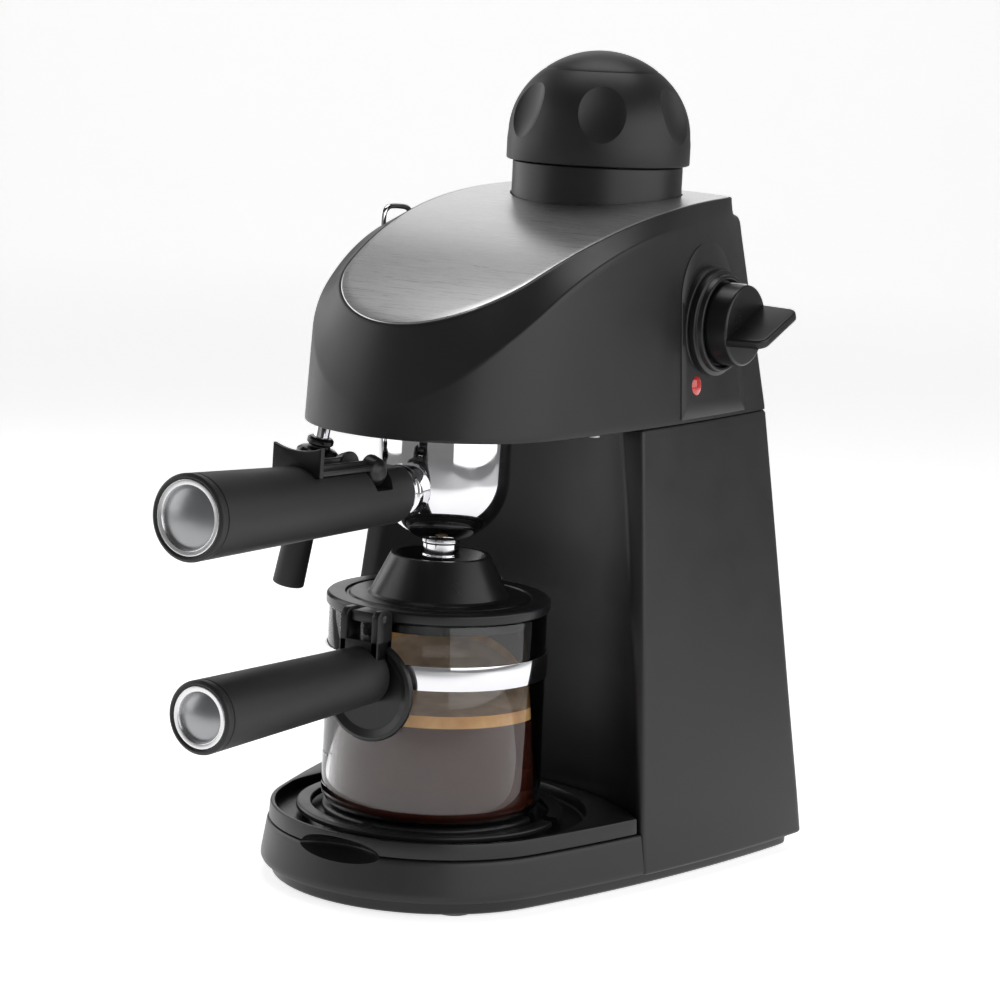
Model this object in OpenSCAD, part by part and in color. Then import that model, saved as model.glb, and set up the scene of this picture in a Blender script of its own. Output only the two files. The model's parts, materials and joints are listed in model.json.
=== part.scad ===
// Countertop steam espresso machine: a screw-capped boiler, a bayonet portafilter,
// a glass carafe on a sliding drip tray and a swivelling steam wand.
// +Z is up, -Y points at the user and +X is the side with the steam knob.
// Everything is laid out about the brew axis (x = 0, y = 0) and then moved, so that the
// origin lies under the middle of the whole machine, on the surface it stands on.

/* [Housing] */
// Height of the top of the boiler cap above the table
total_h = 320; // [319:0.5:322]
// Height of the underside of the head
head_z = 178; // [177.5:0.5:178.5]
// Height of the lower edge of the base moulding
base_z = 6; // [5:0.5:7]
// Height of the deck under the drip tray
deck_z = 22; // [21.5:0.5:22.5]
// Front radius of the base at its lower edge
base_front_r = 65.5; // [65:0.5:66.5]
// Front radius of the base at the deck
deck_front_r = 63; // [62.5:0.5:63.5]
// Front radius of the head at its underside
head_front_r = 54.3; // [54:0.1:55]
// Distance of the rear face behind the brew axis
back_y = 145; // [144:0.5:147]
// Wall thickness of the mouldings
wall = 2.5; // [2.2:0.1:2.8]
// Distance of the column's front edges behind the brew axis, under the head
column_y_top = 46.5; // [45:0.5:48]
// Distance of the column's front edges behind the brew axis, at the base
column_y_low = 37; // [36:0.5:38]
// Radius of the hollow front of the column at its top
scoop_r_top = 99.2; // [98:0.2:100]
// Radius of the hollow front of the column at the deck
scoop_r_deck = 105; // [104:0.5:106]

/* [Boiler and cap] */
// Distance of the boiler axis behind the brew axis
boiler_y = 102.3; // [102:0.1:103]
// Outer radius of the cap at its rim
cap_r = 37; // [36.5:0.5:37.5]
// Height of the rim of the cap
cap_rim_z = 275.5; // [275.5:0.1:276]
// Outer radius of the collar under the cap
collar_r = 34.35; // [34.2:0.05:34.4]
// Number of finger hollows around the cap
cap_hollows = 6; // [5:1:7]
// Rise of the cap for one full turn
thread_pitch = 4; // [3:0.5:5]

/* [Portafilter] */
// Outer radius of the portafilter cup
cup_r = 25.4; // [25.2:0.1:25.6]
// Height of the axis of the portafilter handle
handle_z = 159.6; // [159.2:0.1:160]
// Distance of the handle's end in front of the brew axis
handle_reach = 161.4; // [155:0.5:165]
// Outer radius of the handle at its end
handle_r = 15.6; // [15:0.1:16]
// Height of the tip of the spout
spout_z = 127.9; // [127.9:0.1:128.6]
// Turn that frees the portafilter
unlock_turn = 38; // [30:1:38]

/* [Carafe and tray] */
// Outer radius of the glass near its base
glass_r = 42.7; // [42.5:0.1:43]
// Height of the rim of the glass
glass_top_z = 107.4; // [107:0.1:107.5]
// Height of the top of the lid's disc
lid_z = 111.8; // [111.6:0.1:112]
// Height of the mouth of the lid's funnel
funnel_z = 127.5; // [127:0.1:127.5]
// Height of the axis of the carafe handle
jug_handle_z = 87.2; // [87:0.1:88]
// Distance of the carafe handle's end in front of the brew axis
jug_reach = 151.3; // [146:0.5:154]
// Height of the rim of the drip tray
tray_z = 28.6; // [28.4:0.1:28.8]
// Radius of the opening of the drip tray
tray_r = 61; // [60:0.5:62]
// Outer radius of the drip grille
grille_r = 52; // [51:0.5:52]
// Number of ring-shaped slats in the drip grille
grille_rings = 4; // [3:1:5]
// Distance from one slat of the grille to the next
slat_pitch = 10; // [9:0.5:10]

/* [Controls] */
// Distance of the knob axis behind the brew axis
knob_y = 97; // [96:0.5:98]
// Height of the knob axis
knob_z = 216.5; // [216:0.5:217]
// Radius of the knob
knob_r = 16.3; // [16:0.1:16.5]
// Tilt of the knob's grip above the horizontal
knob_tilt = 22; // [0:1:45]
// Outer radius of the steam tube
tube_r = 2.6; // [2.4:0.1:2.7]

/* [Hidden] */
fine = 96;
medium = 48;
eps = 0.02;

// Centres of the wide arcs that form the flanks, beside and behind the brew axis
base_flank = [600, 180];
head_flank = [760, 112];
crease_flank = [255, 52];
plate_flank = [360, 77];
// Radii of the rear face, seen from above
base_bow = 1200;
head_bow = 900;
plate_bow = 100;
// How strongly the rear corners are rounded off: higher is sharper
corner_power = 14;
half_steps = 24;
column_levels = [base_z, deck_z, 66, 110, head_z];

// Height of the crease around the head and of the steel plate, falling towards the front
crease_front_r = 52.5;
crease_top = 255;
crease_drop = 65.5;
crease_span = 167.5;
plate_front_r = 42.3;
plate_back_y = back_y - 1.5;
plate_top = 264;
plate_drop = 44;
plate_span = 182;
plate_t = 0.9;
plate_gap = 0.12;

frame_shift = [0, (handle_reach - back_y) / 2, 0];

tray_gap = 0.3;
deck_t = 2.5;
screw_r = 1.5;
pilot_r = 1.6;
base_screw_spots = [[-46, -12], [46, -12], [-64, 100], [64, 100]];
panel_screw_spots = [[-51, 24], [51, 24], [-45, 124], [45, 124]];
foot_spots = [[-36, -36], [36, -36], [-68, 116], [68, 116]];
foot_r = 8;

group_z = head_z + 3;
group_r = 36;
ear_z = group_z + 5.3;
cup_top_z = group_z + 15;
basket_r = 23.3;

knob_x = 60.8;
panel_x = 53;
flange_x = 66;
knob_face_x = 75;
wing_x = 91;

wand_top = [-43, -18.2, head_z + 6];
wand_ball_r = 3.4;
wand_bend = [-44.5, -18.8, 172];
wand_tip = [-57, -22.2, 106];
wand_axis = (wand_tip - wand_bend) / norm(wand_tip - wand_bend);

// Hinge of the filter clip, its thumb plate, and the flat on the handle that it lies over
clip_y = -57;
clip_z = handle_z + 6.4;
clip_hub_r = 5.6;
clip_plate_y = -97;
clip_flat_z = handle_z + 6.7;
tongue_w = 7.6;

// ---- Outlines -------------------------------------------------------------------

function flank_x(y, r, flank) = -flank[0] + sqrt(pow(r + norm(flank), 2) - pow(y - flank[1], 2));
function front_x(y, r) = sqrt(max(0, r * r - y * y));
function side_x(y, r, flank) = y < -r * flank[1] / norm(flank) ? front_x(y, r) : flank_x(y, r, flank);
function rear_x(y, back, bow) = sqrt(max(0, bow * bow - pow(y - back + bow, 2)));
function soft_min(a, b) =
    min(a, b) < 0.01 ? 0 : pow(pow(a, -corner_power) + pow(b, -corner_power), -1 / corner_power);
function half_width(y, r, flank, back, bow) = soft_min(side_x(y, r, flank), rear_x(y, back, bow));
// Positions from front to back, close together where the outline turns
function stations(front, back) =
    [for (i = [0 : half_steps]) front + (back - front) * (1 - cos(180 * i / half_steps)) / 2];
function mix(a, b, t) = a + (b - a) * t;

// Share of the way from the base's outline to the head's
function column_share(z) = max(0, (z - deck_z) / (head_z - deck_z));
function column_front(z) =
    z <= deck_z
        ? mix(base_front_r, deck_front_r, (z - base_z) / (deck_z - base_z))
        : mix(deck_front_r, head_front_r, column_share(z));
// One ring of the housing at height z, moved in by inset
function body_half(z, inset) =
    let (r = column_front(z) - inset, t = column_share(z), back = back_y - inset)
    [for (s = stations(0, 1))
        let (
            y = mix(-r, back, s),
            low = half_width(y, r, base_flank, back, base_bow),
            high = half_width(y, r, head_flank, back, head_bow)
        )
        [mix(low, high, t), y, z]];
function head_half(r, flank, inset, z_of) =
    [for (y = stations(inset - r, back_y - inset))
        [half_width(y, r - inset, flank, back_y - inset, head_bow), y, z_of(y)]];
function crease_z(y) = crease_top - crease_drop * pow(max(0, 115 - y) / crease_span, 3.1);
function plate_z(y) = plate_top - plate_drop * pow(max(0, 140 - y) / plate_span, 2.52);
function plate_half(grow, drop) =
    [for (y = stations(-plate_front_r - grow, plate_back_y + grow))
        [half_width(y, plate_front_r + grow, plate_flank, plate_back_y + grow, plate_bow), y, plate_z(y) - drop]];

// ---- Shared shapes --------------------------------------------------------------

// Solid through a stack of mirrored half outlines, lowest first
module loft(halves) {
    n = len(halves[0]);
    m = 2 * n;
    levels = len(halves);
    points = [
        for (h = halves) each concat(
            [for (p = h) p],
            [for (i = [n - 1 : -1 : 0]) [-h[i][0] - eps, h[i][1], h[i][2]]]
        )
    ];
    sides = [
        for (k = [0 : levels - 2], i = [0 : m - 1])
            let (a = k * m + i, b = k * m + (i + 1) % m)
            each [[a, b + m, b], [a, a + m, b + m]]
    ];
    bottom = [for (i = [0 : n - 2]) [i, i + 1, m - 2 - i, m - 1 - i]];
    top = [for (i = [0 : n - 2]) let (o = (levels - 1) * m) [o + m - 1 - i, o + m - 2 - i, o + i + 1, o + i]];
    polyhedron(points = points, faces = concat(sides, bottom, top), convexity = 8);
}

// Flat outline of the housing at height z, moved in by inset
module body_outline(z, inset) {
    half = body_half(z, inset);
    n = len(half);
    polygon(concat(
        [for (p = half) [p[0], p[1]]],
        [for (i = [n - 2 : -1 : 1]) [-half[i][0], half[i][1]]]
    ));
}

module ring(r_out, r_in, z0, z1) {
    translate([0, 0, z0])
        difference() {
            cylinder(r = r_out, h = z1 - z0, $fn = fine);
            translate([0, 0, -1])
                cylinder(r = r_in, h = z1 - z0 + 2, $fn = fine);
        }
}

module post(spot, r, z0, z1) {
    translate([spot[0], spot[1], z0])
        cylinder(r = r, h = z1 - z0, $fn = medium);
}

// Round bar from one point to another
module bar(from, to, r0, r1) {
    v = to - from;
    translate(from)
        rotate([0, acos(v[2] / norm(v)), atan2(v[1], v[0])])
            cylinder(r1 = r0, r2 = r1, h = norm(v), $fn = medium);
}

// Places its children with +Z pointing along -Y, starting at distance y0 in front
module forward(y0, z) {
    translate([0, -y0, z])
        rotate([90, 0, 0])
            children();
}

// Places its children with +Z pointing along +X on the knob's axis
module knob_side(x0) {
    translate([x0, knob_y, knob_z])
        rotate([0, 90, 0])
            children();
}

// Thin pipe through a list of points, with sides turned about a fixed direction
module swept_pipe(path, r, ref, sides = 10) {
    n = len(path);
    tangent = [for (i = [0 : n - 1])
        let (v = path[min(i + 1, n - 1)] - path[max(i - 1, 0)]) v / norm(v)];
    points = [
        for (i = [0 : n - 1])
            let (a = cross(ref, tangent[i]), u = a / norm(a), w = cross(tangent[i], u))
            for (k = [0 : sides - 1])
                path[i] + r * (cos(360 * k / sides) * u + sin(360 * k / sides) * w)
    ];
    walls = [
        for (i = [0 : n - 2], k = [0 : sides - 1])
            let (a = i * sides + k, b = i * sides + (k + 1) % sides)
            each [[a, a + sides, b + sides], [a, b + sides, b]]
    ];
    ends = [
        [for (k = [0 : sides - 1]) k],
        [for (k = [sides - 1 : -1 : 0]) (n - 1) * sides + k]
    ];
    polyhedron(points = points, faces = concat(walls, ends), convexity = 6);
}

module screw(spot, z0, z1, head_r, head_h) {
    post(spot, head_r, z0 - head_h, z0);
    post(spot, screw_r, z0 - eps, z1);
}

// ---- Housing --------------------------------------------------------------------

// Space in front of the column, grown into the column by skin
module brew_bay(skin) {
    scoop_y = 60.5 - scoop_r_top;
    slope = (scoop_r_deck - scoop_r_top) / (head_z - deck_z);
    low = deck_z - (skin > 0 ? deck_t : 0);
    high = head_z + 10;
    translate([0, scoop_y, low])
        cylinder(
            r1 = scoop_r_deck + skin + slope * (deck_z - low),
            r2 = scoop_r_top + skin - slope * (high - head_z),
            h = high - low,
            $fn = fine
        );
    lean = (column_y_top - column_y_low) / (head_z - base_z);
    translate([-150, 0, 0])
        rotate([90, 0, 90])
            linear_extrude(height = 300)
                polygon([
                    [-150, low], [column_y_low + lean * (low - base_z) + skin, low],
                    [column_y_low + lean * (high - base_z) + skin, high], [-150, high]
                ]);
}

// Hollow that fingers reach into under the front of the tray
module finger_hollow(grow, depth) {
    translate([0, -66, deck_z])
        scale([20 + grow, 14 + grow, depth + grow])
            sphere(r = 1, $fn = medium);
}

module body_shell() {
    color("#1d1d1f") difference() {
        union() {
            difference() {
                loft([for (z = column_levels) body_half(z, 0)]);
                difference() {
                    loft([for (z = [base_z - 1, deck_z, 66, 110, head_z + 1]) body_half(z, wall)]);
                    brew_bay(wall);
                    finger_hollow(wall, 4);
                }
                brew_bay(0);
            }
            for (s = base_screw_spots)
                post(s, 4.5, 6, s[1] < 0 ? deck_z - 1 : 30);
            for (side = [-1, 1])
                translate([side > 0 ? 66 : -82.6, 99, 9.5])
                    cube([16.6, 2, 19]);
        }
        finger_hollow(0, 4);
        for (s = base_screw_spots)
            post(s, pilot_r, 5, 18);
        translate([-44, back_y - 10, 40])
            rotate([-90, 0, 0])
                cylinder(r = 6.5, h = 20, $fn = medium);
    }
}

module bottom_cover() {
    inset = wall + 2;
    color("#141415") difference() {
        translate([0, 0, 1])
            linear_extrude(height = 8)
                body_outline(base_z, inset);
        translate([0, 0, 3.2])
            linear_extrude(height = 8)
                body_outline(base_z, inset + 2);
        for (s = base_screw_spots)
            post(s, 3.2, 0, 2.2);
        for (s = base_screw_spots)
            post(s, 1.8, 0, 5);
        for (s = foot_spots)
            post(s, foot_r + 0.05, 0, 2);
    }
    color("#141415")
        for (s = base_screw_spots)
            translate([s[0], s[1], 0])
                ring(4.5, 1.8, 3.2 - eps, 5.9);
}

module rubber_feet() {
    color("#0c0c0c")
        for (s = foot_spots)
            post(s, foot_r, 0, 2);
}

module cover_screws() {
    color("silver")
        for (s = base_screw_spots)
            screw(s, 2.2, 16, 3, 1.1);
}

module head_shell() {
    color("#1f1f21") difference() {
        union() {
            difference() {
                loft([
                    head_half(head_front_r, head_flank, 0, function (y) head_z),
                    head_half(crease_front_r, crease_flank, 0, function (y) crease_z(y)),
                    plate_half(1, plate_t)
                ]);
                loft([
                    head_half(head_front_r, head_flank, wall, function (y) head_z - 1),
                    head_half(crease_front_r, crease_flank, wall, function (y) crease_z(y) - 1.5),
                    plate_half(-1, plate_t + wall)
                ]);
            }
            knob_side(panel_x)
                cylinder(r = 24, h = knob_x - panel_x, $fn = fine);
            for (s = panel_screw_spots)
                post(s, 4.5, group_z, s[1] < 100 ? 236 : 246);
        }
        knob_side(50)
            cylinder(r = 9, h = 20, $fn = medium);
        translate([50, 84.4, 191.9])
            rotate([0, 90, 0])
                cylinder(r = 5.1, h = 20, $fn = medium);
        translate([0, boiler_y, 240])
            cylinder(r = collar_r + 0.35, h = 40, $fn = fine);
        for (s = panel_screw_spots)
            post(s, pilot_r, group_z - 1, group_z + 14);
    }
}

module under_panel() {
    color("#19191a") difference() {
        translate([0, 0, head_z + 0.2])
            linear_extrude(height = group_z - head_z - 0.2)
                body_outline(head_z, wall + 1.1);
        post([0, 0], 33, head_z - 1, group_z + 1);
        post([0, boiler_y], 28, head_z - 1, group_z + 1);
        post([wand_top[0], wand_top[1]], 3.8, head_z - 1, group_z + 1);
        for (s = panel_screw_spots)
            post(s, 1.8, head_z - 1, group_z + 1);
    }
}

module panel_screws() {
    color("silver")
        for (s = panel_screw_spots)
            screw(s, head_z + 0.2, group_z + 12, 3, 1.6);
}

module top_plate() {
    color("#c9cacb") difference() {
        loft([plate_half(0, plate_t - plate_gap), plate_half(0, 0)]);
        translate([0, boiler_y, 240])
            cylinder(r = collar_r + 0.55, h = 40, $fn = fine);
    }
}

module knob_flange() {
    color("#151516") difference() {
        knob_side(knob_x)
            cylinder(r1 = 21, r2 = 20, h = flange_x - knob_x, $fn = fine);
        knob_side(knob_x + 2.2)
            cylinder(r = knob_r + 0.8, h = 10, $fn = fine);
        knob_side(50)
            cylinder(r = 5, h = 20, $fn = medium);
    }
}

module indicator_lamp() {
    color("#b01414")
        translate([0, 84.4, 191.9])
            rotate([0, 90, 0]) {
                translate([0, 0, 54])
                    cylinder(r = 5, h = 7, $fn = medium);
                intersection() {
                    translate([0, 0, 52])
                        sphere(r = 10.3, $fn = fine);
                    translate([0, 0, 60.9])
                        cylinder(r = 4.8, h = 5, $fn = medium);
                }
            }
}

module cord_gland() {
    color("#101010")
        translate([-44, back_y - 10, 40])
            rotate([-90, 0, 0])
                difference() {
                    union() {
                        cylinder(r = 6.4, h = 9.6, $fn = medium);
                        cylinder(r = 9, h = 4, $fn = medium);
                    }
                    translate([0, 0, -1])
                        cylinder(r = 3.4, h = 30, $fn = medium);
                }
}

module terminal_block() {
    color("ivory") difference() {
        translate([-30, 100, 3.2])
            cube([24, 12, 12]);
        for (x = [-24, -18, -12])
            translate([x, 95, 10])
                rotate([-90, 0, 0])
                    cylinder(r = 1.6, h = 30, $fn = 24);
    }
}

module wire_bail() {
    x = -56;
    color("silver")
        swept_pipe(
            [
                [x, 33, 243], [x, 33, 250], [x, 33.6, 253.4], [x, 36, 255.2], [x, 39, 255.6],
                [x, 45, 255.3], [x, 49, 254.6], [x, 51.4, 253], [x, 52, 250.5], [x, 52, 243]
            ],
            1.15, [1, 0, 0], 12
        );
}

// ---- Boiler ---------------------------------------------------------------------

module on_boiler() {
    translate([0, boiler_y, 0])
        children();
}

module boiler_base() {
    color("#b8b9bb") on_boiler() difference() {
        union() {
            ring(31, 28.5, 190, 230);
            ring(36, 28.5, 229, 232);
            post([0, 0], 31, 190, 193);
        }
        for (a = [30 : 60 : 330])
            post([33.6 * cos(a), 33.6 * sin(a)], pilot_r, 220, 240);
    }
}

module boiler_top() {
    color("#b8b9bb") on_boiler() difference() {
        rotate_extrude($fn = fine)
            polygon([
                [28.5, 233.2], [36, 233.2], [36, 236], [31, 236], [31, 248], [25, 253],
                [25, 270], [20.4, 270], [20.4, 251.5], [28.5, 245.5]
            ]);
        for (a = [30 : 60 : 330])
            post([33.6 * cos(a), 33.6 * sin(a)], pilot_r, 230, 240);
        translate([20, -5.3, 240.5])
            rotate([0, 90, 0])
                cylinder(r = 2.2, h = 20, $fn = 24);
    }
}

module boiler_gasket() {
    color("#a03020") on_boiler()
        ring(31.6, 28.5, 232, 233.2);
}

module boiler_screws() {
    color("silver") on_boiler()
        for (a = [30 : 60 : 330]) {
            spot = [33.6 * cos(a), 33.6 * sin(a)];
            post(spot, screw_r, 227, 238);
            post(spot, 2.3, 236, 238.4);
            post(spot, 2.3, 226.4, 229);
        }
}

module heating_element() {
    color("#8a8a8a") on_boiler() {
        translate([0, 0, 186.2])
            rotate_extrude($fn = fine)
                translate([22, 0])
                    circle(r = 3.6, $fn = medium);
        for (x = [-1, 1])
            post([22 * cos(100) * x, -22 * sin(100)], 2.4, 176, 186);
    }
}

module thermostat() {
    color("#d8d2c0") on_boiler() {
        post([0, 0], 9, 183, 189.9);
        for (x = [-5, 5])
            translate([x - 1.6, -0.4, 176])
                cube([3.2, 0.8, 7.5]);
    }
}

// Valve block beside the boiler, bored for the knob's stem
module steam_valve_body() {
    color("#b59a56") difference() {
        union() {
            knob_side(38)
                cylinder(r = 8, h = 14, $fn = medium);
            translate([39, knob_y - 6, knob_z + 4])
                cube([10, 12, 27]);
            translate([31.2, knob_y - 5, 238])
                cube([12, 10, 5.4]);
        }
        knob_side(42)
            cylinder(r = 3.06, h = 20, $fn = medium);
    }
}

module brew_pipe() {
    color("#c87f4a")
        swept_pipe(
            [
                [44, 90.8, 226], [44, 84, 226], [42, 72, 224], [36, 52, 219], [26, 28, 216],
                [16, 8, 215], [13, 1.5, 213], [12, 0, 210], [12, 0, 206.1]
            ],
            2.4, [1, 0.3, 0.2], 10
        );
}

module steam_pipe() {
    color("#c87f4a")
        swept_pipe(
            [
                [44, 90.8, 236], [44, 84, 236.4], [38, 70, 236.8], [20, 56, 236], [-8, 48, 233],
                [-30, 34, 226], [-40, 14, 214], [-43, -10, 203], [-43, -18.2, 198], [-43, -18.2, 191.1]
            ],
            2.4, [0.3, 0.2, 1], 10
        );
}

module neck_collar() {
    color("#161617") on_boiler() {
        ring(collar_r, 31.4, 252, cap_rim_z - 0.3);
        ring(38, 31.4, 251, 253.5);
    }
}

// ---- Group ----------------------------------------------------------------------

module group_head() {
    turn = -unlock_turn;
    color("#a9abad") difference() {
        post([0, 0], group_r, group_z, group_z + 24);
        post([0, 0], 31.6, group_z + 4.8, group_z + 19);
        post([0, 0], 27, group_z - 1, group_z + 6);
        intersection() {
            post([0, 0], 31.6, group_z - 1, group_z + 6);
            rotate([0, 0, turn])
                translate([-40, -9.5, group_z - 1])
                    cube([80, 19, 7]);
        }
        post([0, 0], 2.2, group_z, group_z + 30);
        post([12, 0], 2.5, group_z, group_z + 30);
    }
}

module group_gasket() {
    color("#5a2a22")
        ring(31.2, 21.5, group_z + 15.4, group_z + 19);
}

module shower_screen() {
    color("silver") difference() {
        post([0, 0], 20.6, group_z + 17.6, group_z + 18.4);
        post([0, 0], 2.2, group_z + 10, group_z + 20);
    }
}

module screen_screw() {
    color("silver")
        screw([0, 0], group_z + 17.6, group_z + 23, 4, 1.2);
}

// ---- Cap ------------------------------------------------------------------------

module cap_plug() {
    color("#2a2a2c") on_boiler() difference() {
        union() {
            post([0, 0], 20, 258, 272);
            post([0, 0], 29.9, 271.6, 279);
            post([0, 0], 6, 279 - eps, 300);
        }
        post([0, 0], 4.6, 260.4, 274);
        post([0, 0], 1.6, 250, 262);
    }
}

module cap_seal() {
    color("#a03020") on_boiler()
        ring(25, 20.15, 270.1, 271.5);
}

// Outline of the cap from its rim to its crown
module cap_profile(r, crown, rim) {
    shoulder = total_h - 34;
    polygon(concat(
        [[0, rim], [r, rim]],
        [for (i = [0 : 18])
            [(r - 0.4) * cos(5 * i), shoulder + (crown - shoulder) * sin(5 * i)]]
    ));
}

module cap_dome() {
    color("#1b1b1d") on_boiler() difference() {
        union() {
            rotate_extrude($fn = fine)
                difference() {
                    cap_profile(cap_r, total_h, cap_rim_z);
                    cap_profile(cap_r - 6.6, total_h - 5, cap_rim_z - 1);
                }
            ring(9.5, 6.05, 281, total_h - 2);
        }
        for (i = [0 : cap_hollows - 1])
            rotate([0, 0, -57.5 + 360 * i / cap_hollows])
                translate([cap_r + 1.2, 0, total_h - 19.5])
                    rotate([0, -14, 0])
                        scale([6.6, 10.5, 17])
                            sphere(r = 1, $fn = medium);
    }
}

module relief_valve() {
    color("silver") on_boiler() {
        post([0, 0], 1.5, 254.8, 262);
        post([0, 0], 4.4, 261.2, 262.8);
        post([0, 0], 2.6, 254, 255);
    }
}

module relief_spring() {
    turns = 4;
    color("silver") on_boiler()
        for (i = [0 : turns - 1])
            translate([0, 0, 264 + 2.6 * i])
                rotate_extrude($fn = medium)
                    translate([3.2, 0])
                        circle(r = 0.45, $fn = 16);
}

// ---- Knob -----------------------------------------------------------------------

module steam_knob() {
    color("#18181a") {
        difference() {
            knob_side(knob_x + 2.6)
                cylinder(r = knob_r, h = knob_face_x - knob_x - 2.6, $fn = fine);
            knob_side(50)
                cylinder(r = 3, h = 20, $fn = medium);
            translate([67.2, knob_y - 1.5, knob_z + knob_r - 1.2])
                cube([6.6, 3, 3]);
        }
        knob_side(0)
            rotate([0, 0, 90 + knob_tilt])
                translate([0, 0, knob_face_x - 1])
                    intersection() {
                        translate([-17, -1.9, 0])
                            cube([34, 3.8, wing_x - knob_face_x + 1]);
                        translate([0, 0, -3])
                            scale([17.6, 10, 20.5])
                                rotate([90, 0, 0])
                                    cylinder(r = 1, h = 2, center = true, $fn = medium);
                    }
    }
}

module valve_stem() {
    color("silver")
        knob_side(45)
            cylinder(r = 3, h = 25, $fn = medium);
}

module knob_marker() {
    color("white")
        translate([67.3, knob_y - 1.4, knob_z + knob_r - 1.1])
            cube([6.4, 2.8, 1.2]);
}

// ---- Portafilter ----------------------------------------------------------------

module portafilter_cup() {
    ball_z = handle_z - 0.1;
    color("#c4c6c8") difference() {
        union() {
            rotate_extrude($fn = fine)
                difference() {
                    union() {
                        translate([0, ball_z])
                            square([cup_r, cup_top_z - ball_z]);
                        intersection() {
                            translate([0, ball_z])
                                circle(r = cup_r, $fn = fine);
                            translate([0, 135.2])
                                square([30, ball_z - 135.2]);
                        }
                        translate([0, 130])
                            square([4, 8]);
                    }
                    translate([-1, ball_z + 6])
                        square([cup_r - 0.8, 60]);
                    translate([-1, cup_top_z - 1])
                        square([cup_r + 0.3, 3]);
                    intersection() {
                        translate([0, ball_z + 6.1])
                            circle(r = 20, $fn = fine);
                        translate([-30, ball_z - 20])
                            square([60, 26.1]);
                    }
                    translate([-1, 120])
                        square([3.5, 40]);
                }
            intersection() {
                ring(31, 25, ear_z, ear_z + 3.2);
                translate([-40, -7.5, ear_z - 1])
                    cube([80, 15, 6]);
            }
        }
        forward(20, handle_z)
            cylinder(r = 3.2, h = 10, $fn = 32);
    }
}

module spout_nozzle() {
    color("#c4c6c8")
        ring(7.3, 4.05, spout_z, 135.2);
}

module handle_collar() {
    color("#c4c6c8") {
        difference() {
            forward(20, handle_z)
                cylinder(r = 10, h = 16, $fn = medium);
            post([0, 0], cup_r + 0.05, 140, 180);
        }
        forward(23.4, handle_z)
            cylinder(r = 3.1, h = 26, $fn = 32);
    }
}

module portafilter_handle() {
    length = handle_reach - 1.6 - 36;
    color("#202022") difference() {
        forward(36, handle_z)
            cylinder(r1 = 12, r2 = handle_r, h = length, $fn = fine);
        forward(handle_reach - 4.6, handle_z)
            cylinder(r = handle_r - 1.9, h = 10, $fn = fine);
        forward(30, handle_z)
            cylinder(r = 3.2, h = 20, $fn = 32);
        translate([-20, clip_plate_y - 0.4, clip_flat_z])
            cube([40, clip_y - clip_plate_y + clip_hub_r + 0.9, 20]);
        for (side = [-1, 1])
            translate([side * (tongue_w / 2 + 10) - 10, clip_y - clip_hub_r - 0.5, handle_z])
                cube([20, 2 * clip_hub_r + 1, 20]);
        translate([-20, clip_y, clip_z])
            rotate([0, 90, 0])
                cylinder(r = 1.25, h = 40, $fn = 32);
    }
}

module handle_ring() {
    color("silver")
        forward(handle_reach - 4.6, handle_z)
            difference() {
                cylinder(r = handle_r - 1.95, h = 4.2, $fn = fine);
                translate([0, 0, 2])
                    cylinder(r = handle_r - 4.4, h = 4, $fn = fine);
            }
}

module end_dome(y0, z, r, h) {
    ball = (r * r + h * h) / (2 * h);
    intersection() {
        forward(y0 + h - ball, z)
            sphere(r = ball, $fn = fine);
        forward(y0, z)
            cylinder(r = r, h = 10, $fn = fine);
    }
}

module handle_cap() {
    color("#8e9092")
        end_dome(handle_reach - 2.6, handle_z, handle_r - 4.5, 2.6);
}

module filter_basket() {
    color("silver")
        rotate_extrude($fn = fine)
            polygon([
                [0, 171], [basket_r - 1.5, 171], [basket_r, 172.5], [basket_r, cup_top_z - 1],
                [24.4, cup_top_z - 1], [24.4, cup_top_z - 0.2], [basket_r - 0.7, cup_top_z - 0.2],
                [basket_r - 0.7, 172.8], [basket_r - 1.8, 171.7], [0, 171.7]
            ]);
}

module clip_pin() {
    color("silver")
        translate([-9.5, clip_y, clip_z])
            rotate([0, 90, 0])
                cylinder(r = 1.2, h = 19, $fn = 32);
}

module filter_clip() {
    low = clip_flat_z + 0.4;
    hub_w = 6.6;
    reach = clip_y - clip_plate_y;
    color("#17171a") difference() {
        union() {
            for (side = [-1, 1]) {
                translate([side * (tongue_w / 2 + 0.4 + hub_w / 2) - hub_w / 2, clip_y, clip_z])
                    rotate([0, 90, 0])
                        cylinder(r = clip_hub_r, h = hub_w, $fn = fine);
                translate([side * 5.5 - 0.8, clip_plate_y + 1, low])
                    cube([1.6, reach - 4, 3.8]);
            }
            translate([-9.4, clip_plate_y + 1, low])
                cube([18.8, reach - clip_hub_r - 2, 2.2]);
            translate([0, clip_plate_y + 2.4, 0])
                rotate([90, 0, 0])
                    linear_extrude(height = 2.4)
                        thumb_plate(low);
        }
        translate([-20, clip_y, clip_z])
            rotate([0, 90, 0])
                cylinder(r = 1.26, h = 40, $fn = 32);
    }
}

// Upright plate of the clip, hollowed along its top for a thumb
module thumb_plate(low) {
    top = handle_z + 18;
    difference() {
        translate([-10.8, low])
            square([21.6, top - low]);
        translate([0, top + 28])
            circle(r = 30, $fn = fine);
    }
}

// ---- Steam wand -----------------------------------------------------------------

module wand_socket() {
    color("#2b2b2d")
        translate([wand_top[0], wand_top[1], 0])
            difference() {
                post([0, 0], 4.2, group_z, 191);
                translate([0, 0, wand_top[2]])
                    sphere(r = wand_ball_r + 0.1, $fn = medium);
                post([0, 0], 3.3, 180, wand_top[2]);
                post([0, 0], 1.5, 185, 200);
            }
}

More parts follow.
